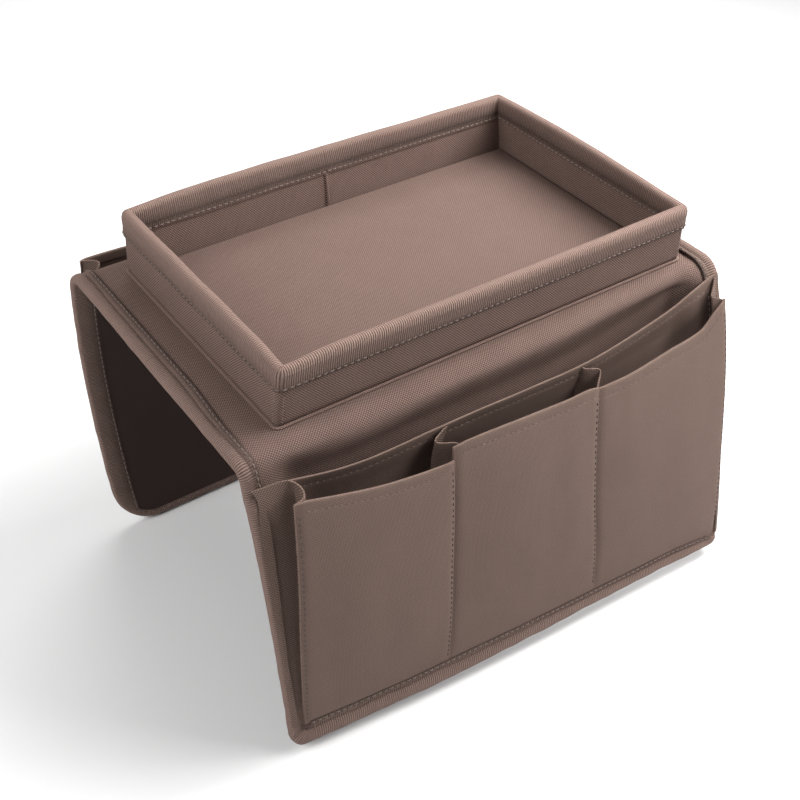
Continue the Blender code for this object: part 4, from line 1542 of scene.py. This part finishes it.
GUSSET_SEAMS = {
    "left_end": (((0.001, -0.1566), (0.011, -0.1530), (0.022, -0.1520), (0.055, -0.1535), (0.082, -0.1549),
                  (0.118, -0.1560), (0.167, -0.1557)), SEAM_LEFT),
    "divider_1": (((0.0124, -0.0459), (0.090, -0.0530), (0.165, -0.0575)), SEAM_ONE),
    "divider_2": (((0.0138, 0.0470), (0.100, 0.0485), (0.168, 0.0500)), SEAM_TWO),
    "right_end": (((-0.003, 0.1545), (0.080, 0.1550), (0.160, 0.1560)), SEAM_RIGHT),
}
GUSSET_FRONT = {"left_end": "left", "divider_1": "middle", "divider_2": "right", "right_end": "right"}
print("gusset edges", {label: len(points) for label, points in GUSSET_TOPS.items()})

# %% A folded strip
GUSSET_CLOTH = POCKET_CLOTH * 0.9
GUSSET_CLOSED = 0.165
GUSSET_DEPTHS = [0, 0.0006, 0.0014, 0.003, 0.006, 0.010] + steps(0.015, 0.158, 0.0065)


def refine(points):
    """Doubles the points of an open line with the midpoints of a smooth curve."""
    fine = [points[0]]
    for i in range(len(points) - 1):
        a = points[max(i - 1, 0)]
        b, c = points[i], points[i + 1]
        d = points[min(i + 2, len(points) - 1)]
        fine.append(tuple((9 * (q + r) - p - t) / 16 for p, q, r, t in zip(a, b, c, d)))
        fine.append(c)
    return fine


def folded_strip(name, hang, lines):
    """A gusset. lines are its rows of places (x, s, o) at GUSSET_DEPTHS, from the mouth to the foot."""
    rings, places, worn_and_lit = [], [], []
    for row, line in enumerate(lines):
        points = [hang.lay(*place) for place in line]
        travelled = [0.0]
        for a, b in zip(points, points[1:]):
            travelled.append(travelled[-1] + (b - a).length)
        front, back = [], []
        for i, point in enumerate(points):
            ahead = points[min(i + 1, len(points) - 1)]
            behind = points[max(i - 1, 0)]
            other = lines[min(row + 1, len(lines) - 1)][i]
            previous = lines[max(row - 1, 0)][i]
            down = hang.lay(*other) - hang.lay(*previous)
            side = (ahead - behind).cross(down).normalized()
            front.append(point + side * GUSSET_CLOTH / 2)
            back.append(point - side * GUSSET_CLOTH / 2)
        rings.append(front + back[::-1])
        around = [(t, line[0][1]) for t in travelled]
        places.append(around + around[::-1])
        # A gusset's top edge is lighter like a hem: wear and a painted highlight.
        worn_and_lit.append([hem_wear_and_highlight(GUSSET_DEPTHS[row])] * (2 * len(points)))
    return sweep(name, rings, places, gusset_finish, wear_and_highlight=worn_and_lit)


# %% Near gussets
SELVEDGE = 0.0040
SELVEDGE_RISE = 0.0011


def near_gusset(label):
    """Rows of a gusset between its two seams, drawn straight towards the foot."""
    top = refine(GUSSET_TOPS[label])
    back_seam, ridge_seam = GUSSET_SEAMS[label]
    front_name = GUSSET_FRONT[label]
    back_top, ridge_top = top[0], top[-1]
    lines = []
    at_end = label.endswith("end")
    for depth in GUSSET_DEPTHS:
        closed = clamp(depth / GUSSET_CLOSED)
        line = []
        for i, (x, down, o) in enumerate(top):
            foot = curve_through(FOOT_LIP, x) + 0.001
            place_down = down + depth * (foot - down) / GUSSET_DEPTHS[-1]
            back_x = curve_through(back_seam, place_down)
            ridge_x = curve_through(ridge_seam, place_down)
            back_o = magazine_offset(back_x, NEAR.flap_start + place_down) + POCKET_CLOTH + 0.0005
            back_o = max(back_o, 0.0027) if at_end else back_o
            ridge_o = front_offset(front_name, ridge_x, NEAR.flap_start + place_down) - 0.0005
            share = (o - back_top[2]) / (ridge_top[2] - back_top[2])
            straight_top = back_top[0] + (ridge_top[0] - back_top[0]) * share
            aside = (x - straight_top) * (1 - closed) ** 0.6
            new_x = back_x + (ridge_x - back_x) * share + aside
            line.append((new_x, NEAR.flap_start + place_down, back_o + max(0.0003, ridge_o - back_o) * share))
        if at_end:
            x, s, o = line[0]
            out = math.copysign(1, x)
            wide = SELVEDGE * smooth(depth / 0.02)
            rise = SELVEDGE_RISE * smooth((depth - 0.004) / 0.02)
            edge_x = out * min(abs(x) + wide + 0.0004, CUT_EDGE)
            line = [(edge_x, s, o - 0.0001), (x + out * (wide * 0.4 + 0.0002), s, o + rise * 0.8),
                    (x + out * 0.0001, s, o + rise)] + line
        lines.append(line)
    return folded_strip(f"gusset_{label}", NEAR, lines)


near_gussets = {label: near_gusset(label) for label in GUSSET_TOPS}
print("near gussets", list(near_gussets))

# %% Seams of the near fronts
FRONT_SEAM_ROWS = ((SEAM_LEFT, "left", 1, 0.016), (SEAM_ONE, "left", -1, 0.032),
                   (SEAM_TWO, "middle", -1, 0.032), (SEAM_RIGHT, "right", -1, 0.016))
BESIDE_SEAM = 0.0016
SEAM_FOOT = FOOT_LIP[0][1] - 0.002

front_stitches = []
for name, points in FRONT_MOUTHS.items():
    places = hem_path(partial(front_mouth, name), points[0][0] + 0.004, points[-1][0] - 0.003)
    path = surface_path(NEAR, places, partial(front_face, name))
    front_stitches.append(stitch_row(f"pocket_hem_stitches_{name}", path, radius=FINE_RADIUS,
                                     finish=hem_finish))

for number, (seam, name, side, first) in enumerate(FRONT_SEAM_ROWS, 1):
    places = []
    for down in steps(first, SEAM_FOOT, SEAM_STEP):
        places.append((curve_through(seam, down) + side * BESIDE_SEAM, NEAR.flap_start + down))
    path = surface_path(NEAR, places, partial(front_face, name))
    front_stitches.append(stitch_row(f"pocket_seam_stitches_{number}", path, pitch=0.0038, length=0.0024,
                                     finish=sunk_finish))
print("rows on the near fronts", len(front_stitches))

# %% [markdown]
# ## The far pockets
# Only a corner of the far side shows: the top of its left gusset, a dark mouth and the start of a
# front. The rest follows the same pattern with two wider pockets. The far flap is bowed, and the
# pocket fronts bow with it, because their places are laid over the same profile.

# %% Sizes of the far pockets
FAR_DEPTH = 0.0155
FAR_FOOT = FLAP_LENGTH - BINDING_WIDTH - 1.5 * GAP
FAR_EDGE = 0.1465
FAR_MOUTHS = {
    "left": ((-0.1465, 0.0000), (-0.1200, 0.0010), (-0.0700, 0.0050), (-0.0200, 0.0050),
             (0.0000, 0.0035)),
    "right": ((0.0000, 0.0035), (0.0300, 0.0055), (0.0750, 0.0055), (0.1200, 0.0015),
              (0.1465, 0.0000)),
}
FAR_ENDS = {"left": (-FAR_EDGE, 0.0), "right": (0.0, FAR_EDGE)}
print("far pockets reach", round(FAR_FOOT, 4), "down the flap")


# %% Far fronts
def far_front_offset(name, x, s):
    """Inner face of a far front, closing towards its foot as the near ones do."""
    down = s - FAR.flap_start
    up = clamp((FAR_FOOT - down) / (FAR_FOOT - curve_through(FAR_MOUTHS[name], x)))
    left, right = FAR_ENDS[name]
    share = clamp((x - left) / (right - left))
    puff = FRONT_PUFF * (4 * share * (1 - share)) ** 0.7
    puff *= math.sin(math.pi * clamp(up * 0.9 + 0.05)) ** 0.8
    return GAP + (FAR_DEPTH - GAP) * up**FRONT_CLOSING + puff - seam_draw(share, right - left, up)


def far_mouth(name, x):
    return FAR.flap_start + curve_through(FAR_MOUTHS[name], x)


def far_front_face(name, x, s, inner):
    return hemmed(far_front_offset(name, x, s), s - far_mouth(name, x), inner)


FAR_POCKET_CORNER = FAR.corner_radius - BINDING_WIDTH - 1.5 * GAP


def far_front(name):
    """A far front between two straight seams, cut round at its outer lower corner."""
    left, right = FAR_ENDS[name]

    def rows(share):
        x = left + (right - left) * share
        foot = corner_end(FAR, x, FAR_EDGE + GAP, FAR_FOOT, FAR_POCKET_CORNER)
        return even_rows(far_mouth(name, x), FAR.flap_start + foot)

    return lay_sheet(f"far_front_{name}", FAR, shares_across(0.03), rows, partial(far_front_face, name),
                     pocket_finish, across=lambda share, s: left + (right - left) * share,
                     wear_and_highlight=lambda x, s: hem_wear_and_highlight(s - far_mouth(name, x)))


far_fronts = {name: far_front(name) for name in FAR_MOUTHS}

# %% Far gussets
FAR_RIDGE = 0.1452
FAR_SEAM = 0.1455
GUSSET_DIP = 0.00165


def far_gusset(label, x_back, x_ridge, folds, name, foot_cut):
    """A far gusset. folds are (share of the depth, distance aside) at the mouth."""
    line_top = refine(refine(((0, 0), *folds, (1, 0))))
    mouth = curve_through(FAR_MOUTHS[name], x_ridge)
    lines = []
    for depth in GUSSET_DEPTHS:
        down = mouth + depth * (FAR_FOOT - foot_cut - mouth) / GUSSET_DEPTHS[-1]
        closed = clamp(depth / GUSSET_CLOSED)
        ridge_o = far_front_offset(name, x_ridge, FAR.flap_start + down) - 0.0006
        line = []
        for share, aside in line_top:
            x = x_back + (x_ridge - x_back) * share + aside * (1 - closed) ** 0.6
            dip = GUSSET_DIP * math.sin(math.pi * clamp(share)) * (1 - closed)
            o = 2 * GAP + (max(ridge_o, 0.0018) - 2 * GAP) * share
            line.append((x, FAR.flap_start + down - dip, o))
        lines.append(line)
    return folded_strip(f"far_gusset_{label}", FAR, lines)


END_FOLDS = ((0.25, 0.005), (0.5, 0.0075), (0.75, 0.0045))
DIVIDER_FOLDS = ((0.2, -0.005), (0.36, -0.0075), (0.5, 0.0), (0.64, 0.0075), (0.82, 0.004))
mirrored_folds = [(share, -aside) for share, aside in END_FOLDS]
far_gussets = {
    "left": far_gusset("left", -FAR_SEAM, -FAR_RIDGE, END_FOLDS, "left", 0.020),
    "right": far_gusset("right", FAR_SEAM, FAR_RIDGE, mirrored_folds, "right", 0.020),
    "divider": far_gusset("divider", 0.0, 0.0, DIVIDER_FOLDS, "left", 0.008),
}

# %% Seams of the far fronts
BESIDE_FAR_SEAM = 0.0018
far_stitches = []
for name, (left, right) in FAR_ENDS.items():
    places = hem_path(partial(far_mouth, name), left + 0.003, right - 0.003)
    path = surface_path(FAR, places, partial(far_front_face, name))
    far_stitches.append(stitch_row(f"far_hem_stitches_{name}", path))

FAR_SEAM_ROWS = ((BESIDE_FAR_SEAM - FAR_EDGE, "left", 0.022), (-BESIDE_FAR_SEAM, "left", 0.002),
                 (FAR_EDGE - BESIDE_FAR_SEAM, "right", 0.022))
for number, (x, name, above_foot) in enumerate(FAR_SEAM_ROWS, 1):
    places = [(x, FAR.flap_start + down) for down in steps(0.008, FAR_FOOT - above_foot, SEAM_STEP)]
    path = surface_path(FAR, places, partial(far_front_face, name))
    far_stitches.append(stitch_row(f"far_seam_stitches_{number}", path))
print("rows on the far fronts", len(far_stitches))

# %% [markdown]
# ## What moves with what
# The tray and the top's boards are attached to the saddle's body, the flap boards and the magazine panel to
# their flap, the near hem stitches and the far fronts to the pockets. Cloth, lining and tape cross a
# shoulder, but they are not blended from the saddle to the flap: their place is only baked into their
# points. The same goes for each gusset, and for each near front, whose foot the tape holds.


# %% Bodies
def across_shoulder(piece, hang):
    bend_end = hang.lay(0, hang.flap_start, 0)
    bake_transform(piece)


for hang in (NEAR, FAR):
    for piece in saddle_pieces[hang.label]:
        across_shoulder(piece, hang)
    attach(flap_boards[hang.label], f"{hang.label}_flap")
for piece in (near_tape, *near_tape_stitches):
    across_shoulder(piece, NEAR)
for piece in (far_tape, *far_tape_stitches):
    across_shoulder(piece, FAR)

tray_pieces = [tray_outer, tray_inner, tray_rim, tray_welt, tray_lap, floor_board, floor_cloth]
for piece in (*tray_pieces, *wall_boards.values(), *rim_stitches, *corner_seams, *top_boards):
    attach(piece, "saddle")
for piece in (magazine, magazine_stitches):
    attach(piece, "near_flap")
for piece in front_stitches[:len(pocket_fronts)]:
    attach(piece, "near_pockets")
for piece in (*far_fronts.values(), *far_stitches):
    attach(piece, "far_pockets")

FOOT_BEND = 0.012
FRONT_MIDDLES = {"left": -0.100, "middle": 0.0, "right": 0.103}


def sewn_foot(piece, x):
    """The foot of a front is sewn down under the tape. Only the piece's place is baked into its points; the
    bend at its foot is worked out but not used.
    """
    low = NEAR.flap_start + foot_down(x) - UNDER_TAPE
    start = NEAR.lay(x, low, FOOT_LEVEL)
    end = NEAR.lay(x, low - FOOT_BEND, FOOT_LEVEL)
    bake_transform(piece)


for name, piece in pocket_fronts.items():
    sewn_foot(piece, FRONT_MIDDLES[name])
for name, piece in zip(("left", "left", "middle", "right"), front_stitches[len(pocket_fronts):]):
    sewn_foot(piece, FRONT_MIDDLES[name])

FAR_RIDGES = {"left": -FAR_RIDGE, "right": FAR_RIDGE, "divider": 0.0}


def with_pockets(piece, hang, x, mouth_place, foot_place):
    """Works out a plane along the front for a gusset, which isn't used, and bakes the gusset's place into its
    points.
    """
    mouth, foot = (hang.lay(x, hang.flap_start + down, o) for down, o in (mouth_place, foot_place))
    down = (foot - mouth).normalized()
    out = Vector((1, 0, 0)).cross(down).normalized()
    if out.y * hang.side < 0:
        out = -out
    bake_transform(piece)


for label, piece in near_gussets.items():
    x, down, o = GUSSET_TOPS[label][-1]
    with_pockets(piece, NEAR, x, (down, o), (foot_down(x), FOOT_LEVEL))
for label, piece in far_gussets.items():
    with_pockets(piece, FAR, FAR_RIDGES[label], (0.001, FAR_DEPTH), (FAR_FOOT, GAP))

# %% [markdown]
# ## Which solids each piece stands for
# Each CAD solid that a cloth, tape or board of its own stands in for is hidden. The names of the nodes
# follow a pattern, so most of them are listed by a loop.

# %% Hidden nodes
for hang in (NEAR, FAR):
    label = hang.label
    cloth, lining = saddle_pieces[label]
    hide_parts(f"{label}_shoulder_cloth", f"{label}_flap_cloth")
    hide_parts(f"{label}_shoulder_lining", f"{label}_flap_lining")
    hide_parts(f"{label}_flap_board")
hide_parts("top_cloth")
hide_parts("top_lining")
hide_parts("top_board")
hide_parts("near_flap_binding", "near_shoulder_binding_left", "near_shoulder_binding_right",
            "top_binding_left", "top_binding_right")
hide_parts("far_flap_binding", "far_shoulder_binding_left", "far_shoulder_binding_right")
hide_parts("tray_outer_cloth")
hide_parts("tray_lining")
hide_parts("tray_rim_binding")
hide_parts("tray_floor_board")
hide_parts("tray_floor_cloth")
for side, piece in wall_boards.items():
    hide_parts(f"tray_wall_board_{side}")
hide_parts("near_magazine_panel")
for name, piece in pocket_fronts.items():
    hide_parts(f"near_pocket_front_{name}")
for name, piece in far_fronts.items():
    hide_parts(f"far_pocket_front_{name}")
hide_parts("near_end_gusset_left")
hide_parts("near_end_gusset_right")
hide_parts("near_divider_gusset_1")
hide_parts("near_divider_gusset_2")
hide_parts("far_end_gusset_left")
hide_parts("far_end_gusset_right")
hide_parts("far_divider_gusset")

# %% [markdown]
# ## The cut of each cloth
# A pattern cutter knows every piece before it is sewn. For each sheet the width and length of its flat
# cut are worked out, with its flat area where the cut isn't a rectangle, and printed.


# %% Flat cuts
def layer_cut(hang, inset):
    """Width, length and area of a saddle layer, whose two lower corners are cut round."""
    width = 2 * (CUT_EDGE - inset - GAP)
    length = hang.end - TAPE - GAP - inset
    radius = hang.corner_radius - TAPE - GAP - inset
    return width, length, width * length - (2 - math.pi / 2) * radius**2


def panel_cut(mouth, left, right, foot):
    """Width, length and area of a panel below a curved mouth."""
    xs = steps(left, right, 0.004)
    lengths = [foot(x) - mouth(x) for x in xs]
    width = right - left
    return width, max(lengths), width * (sum(lengths) - (lengths[0] + lengths[-1]) / 2) / (len(xs) - 1)


LONGEST_FACE = 0.05


def strip_cut(piece):
    """Width, length and area of a tape or gusset in the flat cloth, without a closing seam."""
    places = [data.vector for data in piece.data.attributes["cloth"].data]
    area = 0.0
    for face in piece.data.polygons:
        a, b, c, d = (places[i] for i in face.vertices)
        if max((c - a).length, (d - b).length) < LONGEST_FACE:
            area += abs((c - a).cross(d - b).z) / 4
    sizes = [max(p[k] for p in places) - min(p[k] for p in places) for k in (0, 1)]
    return sizes[0], sizes[1], area


def declare(piece, cut, held, *rests_on, extra=()):
    """Prints a sheet's flat cut and how it is held. The piece that carries it is not used."""
    width, length, area = cut
    min(area, width * length)
    list(extra)
    print(f"{piece.name:<24} {width * 1000:6.1f} x {length * 1000:5.1f} mm, {area * 1e4:6.1f} cm2, {held}")


for hang in (NEAR, FAR):
    cloth, lining = saddle_pieces[hang.label]
    board = flap_boards[hang.label]
    declare(cloth, layer_cut(hang, 0), "stretched", board)
    declare(lining, layer_cut(hang, LINING_INSET), "stretched", board)

tray_round = 2 * (TRAY_LENGTH + TRAY_WIDTH) - (8 - 2 * math.pi) * TRAY_CORNER
tray_tall = TRAY_TOP - TRAY_BASE
inner_round = tray_round + 2 * math.pi * (LINING_OUT - TRAY_CLOTH)
floor_cut = (TRAY_LENGTH + 2 * LINING_OUT, TRAY_WIDTH + 2 * LINING_OUT)
declare(tray_outer, (tray_round, tray_tall, tray_round * tray_tall), "stretched", wall_boards["near"],
        extra=[tray_welt])
declare(tray_inner, (inner_round, tray_tall, inner_round * tray_tall), "stretched", wall_boards["near"],
        extra=[tray_lap])
declare(floor_cloth, (*floor_cut, floor_cut[0] * floor_cut[1]), "laid", floor_board)

magazine_foot = NEAR.end - TAPE - GAP
declare(magazine, panel_cut(magazine_mouth, -magazine_half, magazine_half, lambda x: magazine_foot),
        "hung", saddle_pieces["near"][0])
for name, piece in pocket_fronts.items():
    left, right = (curve_through(seam, 0.09) for seam in FRONT_SEAMS[name])
    mouth = lambda x, name=name: curve_through(FRONT_MOUTHS[name], x)
    declare(piece, panel_cut(mouth, left - 0.001, right + 0.001, foot_down), "hung", magazine)
for name, piece in far_fronts.items():
    mouth = lambda x, name=name: curve_through(FAR_MOUTHS[name], x)
    declare(piece, panel_cut(mouth, *FAR_ENDS[name], lambda x: FAR_FOOT), "hung", saddle_pieces["far"][0])

for tape, cloth in ((near_tape, saddle_pieces["near"][0]), (far_tape, saddle_pieces["far"][0]),
                    (tray_rim, tray_outer)):
    declare(tape, strip_cut(tape), "folded", cloth)
for piece in near_gussets.values():
    declare(piece, strip_cut(piece), "folded", magazine)
for piece in far_gussets.values():
    declare(piece, strip_cut(piece), "folded", saddle_pieces["far"][0])

# %% Pieces grouped by material, with no slot given
slots = {
    "saddle_cloth": [saddle_pieces["near"][0], saddle_pieces["far"][0]],
    "lining_cloth": [saddle_pieces["near"][1], saddle_pieces["far"][1]],
    "tray_cloth": [tray_outer, tray_inner, tray_welt, tray_lap, floor_cloth],
    "pocket_cloth": [magazine, *pocket_fronts.values(), *far_fronts.values(), *near_gussets.values(),
                     *far_gussets.values()],
    "binding_tape": [near_tape, far_tape, tray_rim, magazine_stitches, *near_tape_stitches,
                     *far_tape_stitches, *rim_stitches, *corner_seams, *front_stitches, *far_stitches],
    "stiffener_board": [*flap_boards.values(), *top_boards, *wall_boards.values(), floor_board],
}
for slot, pieces in slots.items():
    for piece in pieces:
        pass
print("pieces", sum(len(pieces) for pieces in slots.values()))

# %% [markdown]
# ## The light and the floor
# A product picture like this one is lit by a large soft light above and behind the object's right
# side, with a white room around it. The floor is a plain pale sheet at the height of the lowest hem.


# %% Floor and lights
def soft_light(name, place, aim, size, power):
    light = bpy.data.lights.new(name, "AREA")
    light.shape = "RECTANGLE"
    light.size = size
    light.size_y = size * 0.8
    light.energy = power
    lamp = bpy.data.objects.new(name, light)
    lamp.location = place
    lamp.rotation_mode = "QUATERNION"
    lamp.rotation_quaternion = (Vector(place) - Vector(aim)).to_track_quat("Z", "Y")
    bpy.context.scene.collection.objects.link(lamp)
    return lamp


OBJECT = (0, 0, -0.05)
LIGHTS = (
    ("key_right", (0.62, -0.10, 0.55), OBJECT, 0.45, 8),
    ("key_above", (0.35, -0.20, 0.60), OBJECT, 0.35, 4.5),
    ("front", (0.60, -0.60, 0.45), OBJECT, 0.45, 6),
    ("fill_left", (-0.90, 0.00, 0.55), OBJECT, 0.80, 10),
    ("backdrop", (0.40, 0.90, 1.20), (0.6, 1.1, -0.19), 0.80, 15),
)
ROOM = 0.16
for light in LIGHTS:
    soft_light(*light)

world = bpy.data.worlds.new("white_room")
world.use_nodes = True
world.node_tree.nodes["Background"].inputs["Color"].default_value = (1, 1, 1, 1)
world.node_tree.nodes["Background"].inputs["Strength"].default_value = ROOM
bpy.context.scene.world = world
bpy.context.scene.view_settings.view_transform = "Standard"

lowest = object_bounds()[0][2]
FLOOR_SIZE = 6.0
FLOOR_PAINT = (0.80, 0.80, 0.80)


def pale_floor():
    mesh = bpy.data.meshes.new("floor")
    half = FLOOR_SIZE / 2
    corners = [(-half, -half, 0), (half, -half, 0), (half, half, 0), (-half, half, 0)]
    mesh.from_pydata(corners, [], [(0, 1, 2, 3)])
    floor = bpy.data.objects.new("floor", mesh)
    floor.location.z = lowest
    paint = bpy.data.materials.new("pale_floor")
    paint.use_nodes = True
    shader = paint.node_tree.nodes["Principled BSDF"]
    shader.inputs["Base Color"].default_value = (*FLOOR_PAINT, 1)
    shader.inputs["Roughness"].default_value = 0.9
    mesh.materials.append(paint)
    bpy.context.scene.collection.objects.link(floor)
    return floor


pale_floor()
print("floor at", round(lowest, 4))
